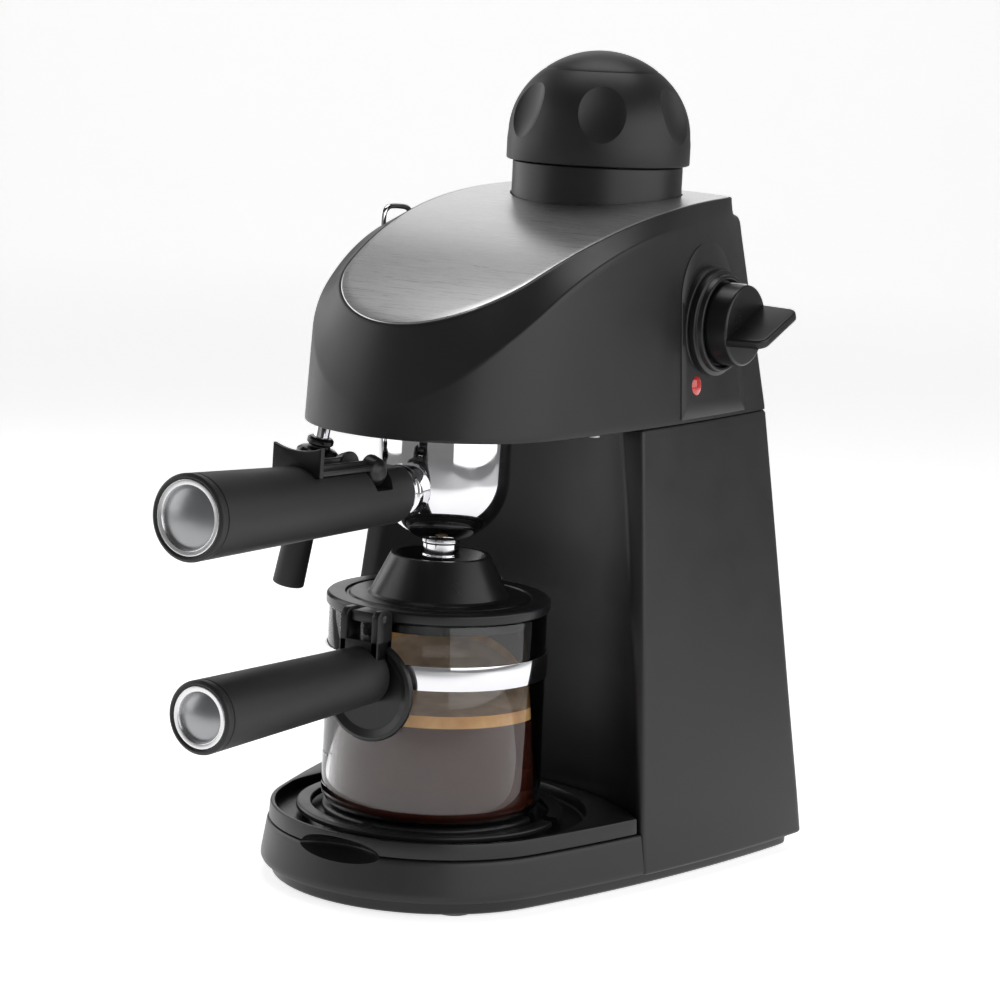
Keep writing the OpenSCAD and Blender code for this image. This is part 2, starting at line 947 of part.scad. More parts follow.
module steam_wand() {
    color("silver") {
        translate(wand_top)
            sphere(r = wand_ball_r, $fn = medium);
        bar(wand_top, wand_bend, tube_r, tube_r);
        translate(wand_bend)
            sphere(r = tube_r + 0.25, $fn = medium);
        bar(wand_bend, wand_tip - 2 * wand_axis, tube_r, tube_r);
    }
}

module along_wand(from) {
    translate(wand_bend + from * wand_axis)
        rotate([0, acos(wand_axis[2]), atan2(wand_axis[1], wand_axis[0])])
            children();
}

module wand_grip() {
    color("#111112")
        along_wand(4)
            difference() {
                union() {
                    cylinder(r = 6.4, h = 4.2, $fn = medium);
                    translate([0, 0, 4])
                        cylinder(r1 = 7.6, r2 = 8.4, h = 6.5, $fn = medium);
                }
                translate([0, 0, -1])
                    cylinder(r = tube_r + 0.04, h = 20, $fn = medium);
            }
}

module froth_sleeve() {
    length = norm(wand_tip - wand_bend);
    color("#131314")
        along_wand(length - 34)
            difference() {
                cylinder(r1 = 5.2, r2 = 5.8, h = 34, $fn = medium);
                translate([0, 0, -1])
                    cylinder(r = tube_r + 0.08, h = 33.2, $fn = medium);
                translate([0, 0, 26])
                    cylinder(r = 1.5, h = 10, $fn = 24);
            }
}

// ---- Drip tray ------------------------------------------------------------------

module tray_outline(inset) {
    intersection() {
        body_outline(deck_z, inset);
        translate([0, 60.5 - scoop_r_top])
            circle(r = scoop_r_deck - inset - 0.3, $fn = fine);
    }
}

module drip_tray() {
    low = deck_z + tray_gap;
    color("#1a1a1c") difference() {
        translate([0, 0, low])
            linear_extrude(height = tray_z - low)
                tray_outline(0.6);
        difference() {
            translate([0, 0, low + 1.4])
                linear_extrude(height = 20)
                    intersection() {
                        tray_outline(2.6);
                        circle(r = tray_r, $fn = fine);
                    }
            finger_hollow(1.6, 5.4);
        }
        finger_hollow(0, 5.4);
    }
}

// Round rack of ring-shaped slats, split behind the middle and joined by a spine
module drip_grille() {
    slat_w = 6;
    split = [8, 14];
    top = tray_z + 0.1;
    low = deck_z + tray_gap + 1.4;
    color("#151517") {
        difference() {
            for (i = [0 : grille_rings - 1])
                ring(grille_r - slat_pitch * i, grille_r - slat_pitch * i - slat_w, top - 2.4, top);
            for (side = [-1, 1])
                translate([side > 0 ? 4 : -64, split[0], top - 4])
                    cube([60, split[1] - split[0], 6]);
        }
        translate([-2, -grille_r + 1, top - 2.4])
            cube([4, 2 * grille_r - 2, 2.3]);
        for (a = [45 : 90 : 315])
            post([(grille_r - 1.5) * cos(a), (grille_r - 1.5) * sin(a)], 1.4, low, top - 1);
    }
}

// ---- Carafe ---------------------------------------------------------------------

module carafe_glass() {
    low = tray_z + 0.1;
    edge = 6;
    skin = 2.2;
    top_r = glass_r - 0.6;
    color("#cfe6ea", 0.4)
        rotate_extrude($fn = fine)
            polygon(concat(
                [[0, low + 0.6], [glass_r - edge - 4, low + 0.6], [glass_r - edge - 2, low]],
                [for (i = [0 : 6])
                    [glass_r - edge + edge * sin(15 * i), low + edge - edge * cos(15 * i)]],
                [[top_r, glass_top_z], [top_r - skin, glass_top_z], [glass_r - skin, low + edge]],
                [for (i = [5 : -1 : 0])
                    [glass_r - edge + (edge - skin) * sin(15 * i), low + edge - (edge - skin) * cos(15 * i)]],
                [[0, low + 3]]
            ));
}

module carafe_band() {
    color("silver")
        ring(glass_r + 0.5, glass_r - 0.2, jug_handle_z - 4.8, jug_handle_z + 4.6);
}

module carafe_lid() {
    color("#161618") difference() {
        union() {
            rotate_extrude($fn = fine)
                polygon([
                    [5, lid_z - 3], [36.6, lid_z - 3], [36.6, 102.5], [39.2, 102.5], [39.2, glass_top_z],
                    [glass_r + 0.6, glass_top_z], [glass_r + 0.6, lid_z - 1], [glass_r - 0.2, lid_z],
                    [36, lid_z], [36, lid_z - 0.8], [34.4, lid_z - 0.8], [34.4, lid_z], [27, lid_z],
                    [19.3, funnel_z], [17.3, funnel_z], [7, lid_z + 2], [5, lid_z]
                ]);
            translate([-5, -glass_r - 8.6, glass_top_z + 0.1])
                cube([10, 12, 4.2]);
        }
        translate([-20, -glass_r - 6, lid_z - 2.2])
            rotate([0, 90, 0])
                cylinder(r = 1.45, h = 40, $fn = 32);
    }
}

module lid_pin() {
    color("silver")
        translate([-9.5, -glass_r - 6, lid_z - 2.2])
            rotate([0, 90, 0])
                cylinder(r = 1.4, h = 19, $fn = 32);
}

module lid_bracket() {
    y = -glass_r - 10.5;
    color("#19191b") difference() {
        union() {
            translate([-8.6, y, 98.7])
                cube([17.2, 9.6, 4]);
            for (x = [-8.6, 5.6])
                translate([x, y, 102])
                    cube([3, 9.6, 10.6]);
        }
        translate([-20, -glass_r - 6, lid_z - 2.2])
            rotate([0, 90, 0])
                cylinder(r = 1.45, h = 40, $fn = 32);
    }
}

module handle_guard() {
    color("#141416") difference() {
        translate([0, 0, jug_handle_z - 4.5])
            forward(glass_r + 0.7, 0)
                cylinder(r = 19.6, h = 3.4, $fn = fine);
        forward(glass_r, jug_handle_z)
            cylinder(r = 3.2, h = 10, $fn = 32);
        translate([-12, -glass_r - 10.7, 98.5])
            cube([24, 10.1, 6]);
    }
}

module carafe_handle() {
    color("#202022") difference() {
        forward(glass_r + 4.1, jug_handle_z)
            cylinder(r1 = 11.2, r2 = 13.4, h = jug_reach - 1.6 - glass_r - 4.1, $fn = fine);
        forward(jug_reach - 4.6, jug_handle_z)
            cylinder(r = 12, h = 10, $fn = fine);
        translate([-12, -glass_r - 10.7, 98.5])
            cube([24, 10.2, 6]);
    }
}

module carafe_ring() {
    color("silver")
        forward(jug_reach - 4.6, jug_handle_z)
            difference() {
                cylinder(r = 11.95, h = 4.2, $fn = fine);
                translate([0, 0, 2])
                    cylinder(r = 9.8, h = 4, $fn = fine);
            }
}

module carafe_cap() {
    color("#8e9092")
        end_dome(jug_reach - 2.6, jug_handle_z, 9.7, 2.6);
}

// ---- Assembly -------------------------------------------------------------------

translate(frame_shift) body_shell();
translate(frame_shift) bottom_cover();
translate(frame_shift) rubber_feet();
translate(frame_shift) cover_screws();
translate(frame_shift) head_shell();
translate(frame_shift) under_panel();
translate(frame_shift) panel_screws();
translate(frame_shift) top_plate();
translate(frame_shift) neck_collar();
translate(frame_shift) boiler_base();
translate(frame_shift) boiler_top();
translate(frame_shift) boiler_gasket();
translate(frame_shift) boiler_screws();
translate(frame_shift) heating_element();
translate(frame_shift) thermostat();
translate(frame_shift) steam_valve_body();
translate(frame_shift) brew_pipe();
translate(frame_shift) steam_pipe();
translate(frame_shift) group_head();
translate(frame_shift) group_gasket();
translate(frame_shift) shower_screen();
translate(frame_shift) screen_screw();
translate(frame_shift) knob_flange();
translate(frame_shift) indicator_lamp();
translate(frame_shift) cord_gland();
translate(frame_shift) terminal_block();
translate(frame_shift) wire_bail();
translate(frame_shift) wand_socket();
translate(frame_shift) cap_plug();
translate(frame_shift) cap_seal();
translate(frame_shift) cap_dome();
translate(frame_shift) relief_valve();
translate(frame_shift) relief_spring();
translate(frame_shift) steam_knob();
translate(frame_shift) valve_stem();
translate(frame_shift) knob_marker();
translate(frame_shift) portafilter_cup();
translate(frame_shift) spout_nozzle();
translate(frame_shift) handle_collar();
translate(frame_shift) portafilter_handle();
translate(frame_shift) handle_ring();
translate(frame_shift) handle_cap();
translate(frame_shift) filter_basket();
translate(frame_shift) clip_pin();
translate(frame_shift) filter_clip();
translate(frame_shift) steam_wand();
translate(frame_shift) wand_grip();
translate(frame_shift) froth_sleeve();
translate(frame_shift) drip_tray();
translate(frame_shift) drip_grille();
translate(frame_shift) carafe_glass();
translate(frame_shift) carafe_band();
translate(frame_shift) handle_guard();
translate(frame_shift) carafe_handle();
translate(frame_shift) carafe_ring();
translate(frame_shift) carafe_cap();
translate(frame_shift) lid_bracket();
translate(frame_shift) carafe_lid();
translate(frame_shift) lid_pin();
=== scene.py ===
"""Looks of the countertop steam espresso machine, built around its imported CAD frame.

Shapes below are written in millimetres from the brew axis, which runs up through the
portafilter and the carafe. place() turns them into metres in the frame's own axes.
"""

import json
import math

import bmesh
import bpy
from mathutils import Matrix, Vector


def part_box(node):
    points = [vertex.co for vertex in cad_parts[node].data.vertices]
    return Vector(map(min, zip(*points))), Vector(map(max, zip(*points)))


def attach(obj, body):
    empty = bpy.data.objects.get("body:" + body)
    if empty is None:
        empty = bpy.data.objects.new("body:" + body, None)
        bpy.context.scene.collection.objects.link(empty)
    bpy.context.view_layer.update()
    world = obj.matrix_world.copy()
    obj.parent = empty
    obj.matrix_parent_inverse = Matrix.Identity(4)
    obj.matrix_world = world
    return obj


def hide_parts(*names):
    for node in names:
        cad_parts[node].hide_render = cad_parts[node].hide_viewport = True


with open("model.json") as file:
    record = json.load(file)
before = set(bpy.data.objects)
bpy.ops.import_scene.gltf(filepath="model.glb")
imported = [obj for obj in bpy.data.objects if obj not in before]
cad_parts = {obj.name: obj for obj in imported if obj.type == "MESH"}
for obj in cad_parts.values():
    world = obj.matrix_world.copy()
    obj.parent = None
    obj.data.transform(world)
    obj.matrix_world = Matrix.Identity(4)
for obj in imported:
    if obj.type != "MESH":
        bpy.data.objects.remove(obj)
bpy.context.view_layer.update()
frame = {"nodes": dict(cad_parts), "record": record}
NODES = frame["nodes"]
MM = 0.001


def centre(node):
    lo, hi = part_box(node)
    return (lo + hi) / 2 / MM


def top(node):
    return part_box(node)[1].z / MM


BREW_Y = centre("filter_basket").y
BOILER_Y = centre("neck_collar").y - BREW_Y
KNOB = centre("knob_flange") - Vector((0, BREW_Y, 0))
HEAD_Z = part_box("head_shell")[0].z / MM
BACK_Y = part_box("body_shell")[1].y / MM - BREW_Y
BASE_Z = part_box("body_shell")[0].z / MM
HANDLE_Z = centre("handle_cap").z
JUG_Z = centre("carafe_cap").z
GLASS_R = (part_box("carafe_glass")[1].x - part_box("carafe_glass")[0].x) / 2 / MM
TRAY_Z = top("drip_tray")
DECK_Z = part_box("drip_tray")[0].z / MM - 0.3
LID_Z = top("carafe_lid")


def place(v):
    return Vector((v[0], v[1] + BREW_Y, v[2])) * MM


# ---- Materials --------------------------------------------------------------------


def new_material(name):
    material = bpy.data.materials.new(name)
    material.use_nodes = True
    nodes = material.node_tree.nodes
    links = material.node_tree.links
    return material, nodes, links, nodes["Principled BSDF"]


def noise(nodes, links, scale, detail=3.0, stretch=(1, 1, 1)):
    """Noise in object space, with scale in cells a metre, drawn out along the small axes of stretch."""
    coords = nodes.new("ShaderNodeTexCoord")
    mapping = nodes.new("ShaderNodeMapping")
    mapping.inputs["Scale"].default_value = stretch
    texture = nodes.new("ShaderNodeTexNoise")
    texture.inputs["Scale"].default_value = scale
    texture.inputs["Detail"].default_value = detail
    links.new(coords.outputs["Object"], mapping.inputs["Vector"])
    links.new(mapping.outputs["Vector"], texture.inputs["Vector"])
    return texture.outputs["Fac"]


def spread(nodes, links, value, low, high):
    """Maps the middle of a noise's range onto low to high."""
    remap = nodes.new("ShaderNodeMapRange")
    remap.inputs["From Min"].default_value = 0.3
    remap.inputs["From Max"].default_value = 0.7
    remap.inputs["To Min"].default_value = low
    remap.inputs["To Max"].default_value = high
    links.new(value, remap.inputs["Value"])
    return remap.outputs["Result"]


def tint(nodes, links, value, dark, light):
    mix = nodes.new("ShaderNodeMix")
    mix.data_type = "RGBA"
    mix.inputs["A"].default_value = (*dark, 1)
    mix.inputs["B"].default_value = (*light, 1)
    links.new(value, mix.inputs["Factor"])
    return mix.outputs["Result"]


def bump(nodes, links, shader, value, distance, strength=1.0):
    node = nodes.new("ShaderNodeBump")
    node.inputs["Distance"].default_value = distance
    node.inputs["Strength"].default_value = strength
    links.new(value, node.inputs["Height"])
    links.new(node.outputs["Normal"], shader.inputs["Normal"])


def plastic(name, colour, rough, grain=9000.0, depth=4e-6, specular=0.4, mottle=0.12):
    """Moulded plastic: an eroded grain, slightly uneven gloss and colour."""
    material, nodes, links, shader = new_material(name)
    cloud = noise(nodes, links, 60.0, 4.0)
    light = [c * (1 + mottle) for c in colour]
    dark = [c * (1 - mottle) for c in colour]
    links.new(tint(nodes, links, cloud, dark, light), shader.inputs["Base Color"])
    links.new(spread(nodes, links, cloud, rough - 0.03, rough + 0.03), shader.inputs["Roughness"])
    shader.inputs["Specular IOR Level"].default_value = specular
    bump(nodes, links, shader, noise(nodes, links, grain, 2.0), depth)
    return material


def metal(name, colour, rough, scale=300.0, depth=1e-6, stretch=(1, 1, 1), uneven=0.04, aniso=0.0):
    """Bare metal, whose gloss and bump follow noise that can be drawn out into brush marks."""
    material, nodes, links, shader = new_material(name)
    marks = noise(nodes, links, scale, 4.0, stretch)
    dark = [c * 0.93 for c in colour]
    links.new(tint(nodes, links, marks, dark, colour), shader.inputs["Base Color"])
    links.new(spread(nodes, links, marks, max(0.01, rough - uneven), rough + uneven),
              shader.inputs["Roughness"])
    shader.inputs["Metallic"].default_value = 1.0
    shader.inputs["Anisotropic"].default_value = aniso
    bump(nodes, links, shader, marks, depth)
    return material


def clear(name, colour, ior, rough=0.0, wave=2e-5):
    """Glass with the faint waviness of a pressed jug."""
    material, nodes, links, shader = new_material(name)
    shader.inputs["Base Color"].default_value = (*colour, 1)
    shader.inputs["Transmission Weight"].default_value = 1.0
    shader.inputs["IOR"].default_value = ior
    cloud = noise(nodes, links, 45.0, 1.0, (1, 1, 0.4))
    links.new(spread(nodes, links, cloud, rough, rough + 0.015), shader.inputs["Roughness"])
    bump(nodes, links, shader, cloud, wave)
    return material


def coffee_material():
    material, nodes, links, shader = new_material("coffee")
    cloud = noise(nodes, links, 35.0, 2.0, (1, 1, 0.3))
    links.new(tint(nodes, links, cloud, (0.030, 0.006, 0.003), (0.065, 0.015, 0.008)),
              shader.inputs["Base Color"])
    links.new(spread(nodes, links, cloud, 0.12, 0.2), shader.inputs["Roughness"])
    shader.inputs["Specular IOR Level"].default_value = 0.08
    shader.inputs["Subsurface Weight"].default_value = 0.15
    shader.inputs["Subsurface Radius"].default_value = (0.006, 0.002, 0.001)
    return material


def crema_material(name, dark, light):
    """Foam: blotchy, darker in patches, with fine bubbles."""
    material, nodes, links, shader = new_material(name)
    cloud = noise(nodes, links, 130.0, 5.0)
    links.new(tint(nodes, links, spread(nodes, links, cloud, 0.0, 1.0), dark, light), shader.inputs["Base Color"])
    links.new(spread(nodes, links, cloud, 0.45, 0.6), shader.inputs["Roughness"])
    bubbles = nodes.new("ShaderNodeTexVoronoi")
    bubbles.inputs["Scale"].default_value = 900.0
    coords = nodes.new("ShaderNodeTexCoord")
    links.new(coords.outputs["Object"], bubbles.inputs["Vector"])
    bump(nodes, links, shader, bubbles.outputs["Distance"], 8e-5, 0.5)
    shader.inputs["Subsurface Weight"].default_value = 0.3
    shader.inputs["Subsurface Radius"].default_value = (0.004, 0.002, 0.001)
    return material


def lamp_material():
    material, nodes, links, shader = new_material("red_lens")
    cloud = noise(nodes, links, 400.0, 2.0)
    links.new(tint(nodes, links, cloud, (0.30, 0.004, 0.004), (0.62, 0.02, 0.012)), shader.inputs["Base Color"])
    links.new(spread(nodes, links, cloud, 0.05, 0.1), shader.inputs["Roughness"])
    shader.inputs["Coat Weight"].default_value = 0.8
    shader.inputs["Coat Roughness"].default_value = 0.03
    shader.inputs["Emission Color"].default_value = (1.0, 0.05, 0.02, 1)
    shader.inputs["Emission Strength"].default_value = 0.02
    return material


SHELL = plastic("shell_black", (0.013, 0.013, 0.014), 0.36)
CAP = plastic("cap_black", (0.014, 0.014, 0.015), 0.42, grain=3500.0, depth=1.2e-5)
TRIM = plastic("trim_black", (0.008, 0.008, 0.009), 0.30)
TRAY = plastic("tray_black", (0.010, 0.010, 0.011), 0.34)
GRIP = plastic("grip_black", (0.014, 0.014, 0.015), 0.5, grain=5000.0, depth=1.2e-5)
RUBBER = plastic("rubber_black", (0.010, 0.010, 0.010), 0.7, grain=2500.0, depth=2e-5, specular=0.3)
LENS_BLACK = plastic("gloss_black", (0.007, 0.007, 0.008), 0.16)
SEAL = plastic("seal_red", (0.24, 0.045, 0.03), 0.6, grain=2500.0, depth=1e-5)
WHITE = plastic("marker_white", (0.72, 0.71, 0.68), 0.45)
CERAMIC = plastic("ceramic", (0.62, 0.58, 0.48), 0.5, grain=1500.0, depth=1e-5)
PLATE = metal("brushed_steel", (0.70, 0.70, 0.705), 0.30, 5200.0, 2.5e-7, (0.012, 1, 1), 0.05)
CHROME = metal("polished_chrome", (0.82, 0.82, 0.84), 0.05, 160.0, 2e-6, (1, 1, 1), 0.03)
BAND = metal("band_chrome", (0.80, 0.80, 0.82), 0.06, 160.0, 1e-6, (1, 1, 1), 0.02)
RING = metal("ring_satin", (0.78, 0.78, 0.79), 0.24, 2500.0, 1e-6, (1, 1, 1), 0.05)
DOME = metal("dome_satin", (0.33, 0.335, 0.345), 0.33, 3000.0, 1e-6, (1, 1, 1), 0.04)
STEEL = metal("plated_steel", (0.66, 0.66, 0.68), 0.18, 700.0, 2e-6)
CAST = metal("cast_aluminium", (0.52, 0.52, 0.54), 0.45, 900.0, 3e-5, (1, 1, 1), 0.08)
BRASS = metal("brass", (0.66, 0.44, 0.18), 0.25, 600.0, 3e-6)
GLASS = clear("clear_glass", (1.0, 1.0, 1.0), 1.47)
COFFEE = coffee_material()
CREMA = crema_material("crema_top", (0.50, 0.31, 0.17), (0.72, 0.53, 0.36))
CREMA_EDGE = crema_material("crema_edge", (0.55, 0.24, 0.05), (0.82, 0.50, 0.18))
LENS = lamp_material()

SLOT_LOOKS = {
    "black_plastic": SHELL, "dark_plastic": TRIM, "grip_plastic": GRIP, "rubber": RUBBER,
    "seal_rubber": SEAL, "brushed_steel": PLATE, "chrome": CHROME, "satin_metal": DOME,
    "screw_steel": STEEL, "cast_aluminium": CAST, "brass": BRASS, "white_plastic": CERAMIC,
    "red_lens": LENS, "clear_glass": GLASS,
}
NODE_SLOT = {part["node"]: part["material_slot"] for part in frame["record"]["subparts"]}
NODE_BODY = {n: body for body, members in frame["record"]["behaviour"]["bodies"].items() for n in members}
for node_name, cad_object in NODES.items():
    cad_object.data.materials.clear()
    cad_object.data.materials.append(SLOT_LOOKS[NODE_SLOT[node_name]])


# ---- Building pieces ---------------------------------------------------------------


def build(name, verts, faces, material, stands_for, crease=30, body=None, at=place):
    """A mesh piece that rides on its node's body. stands_for is one or more CAD nodes, or none."""
    mesh = bpy.data.meshes.new(name)
    mesh.from_pydata([at(v) for v in verts], [], faces)
    bm = bmesh.new()
    bm.from_mesh(mesh)
    bmesh.ops.remove_doubles(bm, verts=bm.verts, dist=2e-6)
    bmesh.ops.dissolve_degenerate(bm, edges=bm.edges, dist=1e-6)
    bmesh.ops.recalc_face_normals(bm, faces=bm.faces)
    bm.to_mesh(mesh)
    bm.free()
    mesh.shade_smooth()
    mesh.set_sharp_from_angle(angle=math.radians(crease))
    mesh.materials.append(material)
    obj = bpy.data.objects.new(name, mesh)
    bpy.context.scene.collection.objects.link(obj)
    if body is None:
        return obj
    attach(obj, body)
    if stands_for:
        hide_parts(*stands_for)
    return obj


def piece(name, shape, material, *stands_for, body=None, crease=30, turn=None):
    verts, faces = shape
    if turn is not None:
        verts = [turn @ Vector(v) for v in verts]
    body = body or NODE_BODY[stands_for[0]]
    return build(name, verts, faces, material, stands_for, crease, body)


def carve(obj, *tools, operation="DIFFERENCE", crease=30):
    """Cuts tools out of obj, or joins them to it, and applies the result."""
    for tool in tools:
        modifier = obj.modifiers.new("carve", "BOOLEAN")
        modifier.operation = operation
        modifier.solver = "EXACT"
        modifier.object = tool
    bpy.context.view_layer.update()
    evaluated = obj.evaluated_get(bpy.context.evaluated_depsgraph_get())
    mesh = bpy.data.meshes.new_from_object(evaluated)
    obj.modifiers.clear()
    obj.data = mesh
    for tool in tools:
        bpy.data.objects.remove(tool)
    mesh.shade_smooth()
    mesh.set_sharp_from_angle(angle=math.radians(crease))
    return obj


def fillet(corners, steps=5, closed=False):
    """Points along (a, b, radius) corners, each rounded by its radius."""
    n = len(corners)
    path = []
    for i, (a, b, r) in enumerate(corners):
        p = Vector((a, b))
        if r == 0 or (not closed and i in (0, n - 1)):
            path.append(p)
            continue
        before = Vector(corners[i - 1][:2]) - p
        after = Vector(corners[(i + 1) % n][:2]) - p
        angle = before.angle(after)
        reach = min(r / math.tan(angle / 2), before.length * 0.49, after.length * 0.49)
        start = p + before.normalized() * reach
        end = p + after.normalized() * reach
        middle = p + (before.normalized() + after.normalized()).normalized() * (
            reach / math.cos(angle / 2))
        radius = (start - middle).length
        for k in range(steps + 1):
            mix = start.lerp(end, k / steps) - middle
            path.append(middle + mix.normalized() * radius)
    return path


def lathe(profile, n=128, closed=False):
    """A profile of (radius, height) points turned about +Z."""
    verts = []
    rows = []
    for r, h in profile:
        if r < 1e-4:
            rows.append([len(verts)] * n)
            verts.append((0, 0, h))
        else:
            rows.append(list(range(len(verts), len(verts) + n)))
            verts += [(r * math.cos(2 * math.pi * k / n), r * math.sin(2 * math.pi * k / n), h)
                      for k in range(n)]
    if closed:
        rows.append(rows[0])
    faces = []
    for low, high in zip(rows, rows[1:]):
        for k in range(n):
            face = [low[k], low[(k + 1) % n], high[(k + 1) % n], high[k]]
            face = [v for i, v in enumerate(face) if v not in face[:i]]
            if len(face) > 2:
                faces.append(face)
    return verts, faces


def skin(rings, cap_low=True, cap_high=True):
    """A surface through rings of the same number of points."""
    n = len(rings[0])
    verts = [p for ring in rings for p in ring]
    faces = []
    for k in range(len(rings) - 1):
        for i in range(n):
            j = (i + 1) % n
            faces.append([k * n + i, k * n + j, (k + 1) * n + j, (k + 1) * n + i])
    if cap_low:
        faces.append(list(range(n))[::-1])
    if cap_high:
        faces.append([(len(rings) - 1) * n + i for i in range(n)])
    return verts, faces


def slab(outline, low, high, edge=0.4, steps=3):
    """A flat plate of that outline from low to high, with rounded edges."""
    points = [Vector(p[:2]) for p in outline]
    rings = []
    for side, z in ((-1, low), (1, high)):
        arc = [math.radians(90 * k / steps) for k in range(steps + 1)]
        if side > 0:
            arc = arc[::-1]
        for a in arc:
            inset = edge * (1 - math.sin(a))
            height = z - side * edge * (1 - math.cos(a))
            rings.append([(*q, height) for q in shrink(points, inset)])
    return skin(rings)


def shrink(points, inset):
    """A closed outline moved in by inset, keeping its number of points."""
    n = len(points)
    area = sum(points[i].x * points[(i + 1) % n].y - points[(i + 1) % n].x * points[i].y for i in range(n))
    sign = 1 if area > 0 else -1
    moved = []
    for i, p in enumerate(points):
        before = (p - points[i - 1]).normalized()
        after = (points[(i + 1) % n] - p).normalized()
        normal = Vector((-(before.y + after.y), before.x + after.x)) * sign
        normal = normal.normalized() if normal.length > 1e-6 else Vector((0, 0))
        spread_out = max(0.5, normal.dot(Vector((-after.y, after.x)) * sign))
        moved.append(p + normal * inset / spread_out)
    return moved


def block(lo, hi, edge=0.4):
    outline = fillet([(lo[0], lo[1], edge), (hi[0], lo[1], edge), (hi[0], hi[1], edge), (lo[0], hi[1], edge)],
                     3, closed=True)
    return slab(outline, lo[2], hi[2], edge)


def sweep(path, r, n=20):
    """A round rod along a path, with its ends rounded off."""
    points = [Vector(p) for p in path]
    tangents = [(points[min(i + 1, len(points) - 1)] - points[max(i - 1, 0)]).normalized()
                for i in range(len(points))]
    side = tangents[0].orthogonal().normalized()
    rings = []
    for i, (p, t) in enumerate(zip(points, tangents)):
        side = (side - t * side.dot(t)).normalized()
        up = t.cross(side)
        ring = [side * math.cos(2 * math.pi * k / n) + up * math.sin(2 * math.pi * k / n) for k in range(n)]
        if i == 0:
            rings.append([p - t * r * 0.0 + q * r * 0.8 for q in ring])
            rings.append([p + t * r * 0.2 + q * r for q in ring])
        elif i == len(points) - 1:
            rings.append([p - t * r * 0.2 + q * r for q in ring])
            rings.append([p + q * r * 0.8 for q in ring])
        else:
            rings.append([p + q * r for q in ring])
    return skin(rings)


def curve_through(points, steps=8):
    """Catmull-Rom points through the given ones."""
    p = [Vector(q) for q in points]
    p = [p[0] * 2 - p[1]] + p + [p[-1] * 2 - p[-2]]
    path = []
    for i in range(1, len(p) - 2):
        for k in range(steps):
            t = k / steps
            a, b, c, d = p[i - 1: i + 3]
            path.append(0.5 * (2 * b + (c - a) * t + (2 * a - 5 * b + 4 * c - d) * t * t
                               + (3 * b - a - 3 * c + d) * t ** 3))
    path.append(p[-2])
    return path


def joined(*shapes):
    verts = []
    faces = []
    for v, f in shapes:
        faces += [[i + len(verts) for i in face] for face in f]
        verts += [Vector(q) for q in v]
    return verts, faces


def moved(shape, matrix):
    return [matrix @ Vector(v) for v in shape[0]], shape[1]


def forward(y0, z):
    """Turns +Z to face the user, starting y0 in front of the brew axis at height z."""
    return Matrix.Translation((0, -y0, z)) @ Matrix.Rotation(math.radians(90), 4, "X")


def handle_tilt():
    """The portafilter's grip rises slightly towards its end."""
    end = Vector((0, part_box("handle_cap")[0].y / MM - BREW_Y, HANDLE_Z))
    return Matrix.Translation(end) @ Matrix.Rotation(math.radians(-1.9), 4, "X") @ Matrix.Translation(-end)


def clip_tilt():
    """The same rise about the clip's own hinge, which stays on its axis."""
    pin = centre("clip_pin") - Vector((0, BREW_Y, 0))
    return Matrix.Translation(pin) @ Matrix.Rotation(math.radians(-1.9), 4, "X") @ Matrix.Translation(-pin)


def knob_side(x0):
    """Turns +Z to +X along the knob's axis, starting at x0."""
    return Matrix.Translation((x0, KNOB.y, KNOB.z)) @ Matrix.Rotation(math.radians(90), 4, "Y")


def arc(r, start, end, steps, middle=(0, 0)):
    return [(middle[0] + r * math.cos(math.radians(start + (end - start) * k / steps)),
             middle[1] + r * math.sin(math.radians(start + (end - start) * k / steps)))
            for k in range(steps + 1)]


# ---- Outlines of the housing ---------------------------------------------------------

BASE_FLANK = (600, 180)
HEAD_FLANK = (760, 112)
CREASE_FLANK = (255, 52)
PLATE_FLANK = (360, 77)
BASE_BOW, HEAD_BOW, PLATE_BOW = 1200, 900, 100
CORNER_POWER = 14
FRONT_R = {"base": 65.5, "deck": 63.0, "head": 54.3, "crease": 52.5, "plate": 42.3}
SCOOP_R = {"deck": 105.0, "top": 99.2}
SCOOP_DEPTH_Y = 60.5
PLATE_BACK_Y = BACK_Y - 1.5


def mix(a, b, t):
    return a + (b - a) * t


def side_x(y, r, flank):
    reach = math.hypot(*flank)
    if y < -r * flank[1] / reach:
        return math.sqrt(max(0, r * r - y * y))
    return -flank[0] + math.sqrt((r + reach) ** 2 - (y - flank[1]) ** 2)


def half_width(y, r, flank, back, bow):
    a = side_x(y, r, flank)
    b = math.sqrt(max(0, bow * bow - (y - back + bow) ** 2))
    if min(a, b) < 0.01:
        return 0.0
    return (a ** -CORNER_POWER + b ** -CORNER_POWER) ** (-1 / CORNER_POWER)


def stations(front, back, steps):
    return [front + (back - front) * (1 - math.cos(math.pi * k / steps)) / 2 for k in range(steps + 1)]


def column_share(z):
    return max(0.0, (z - DECK_Z) / (HEAD_Z - DECK_Z))


def column_front(z):
    return mix(37.0, 46.5, (z - BASE_Z) / (HEAD_Z - BASE_Z))


def column_half(y, z, inset=0.0):
    """Half the housing's width at y and z, moved in by inset."""
    t = column_share(z)
    if z <= DECK_Z:
        r = mix(FRONT_R["base"], FRONT_R["deck"], (z - BASE_Z) / (DECK_Z - BASE_Z))
    else:
        r = mix(FRONT_R["deck"], FRONT_R["head"], t)
    back = BACK_Y - inset
    return mix(half_width(y, r - inset, BASE_FLANK, back, BASE_BOW),
               half_width(y, r - inset, HEAD_FLANK, back, HEAD_BOW), t)


def mirrored(half):
    """A closed ring from a half outline that runs from front to back."""
    return [tuple(p) for p in half] + [(-p[0], p[1], p[2]) for p in half[-2:0:-1]]


def crease_z(y):
    return 255 - 65.5 * (max(0, 115 - y) / 167.5) ** 3.1


def plate_z(y):
    return 264 - 44 * (max(0, 140 - y) / 182) ** 2.52


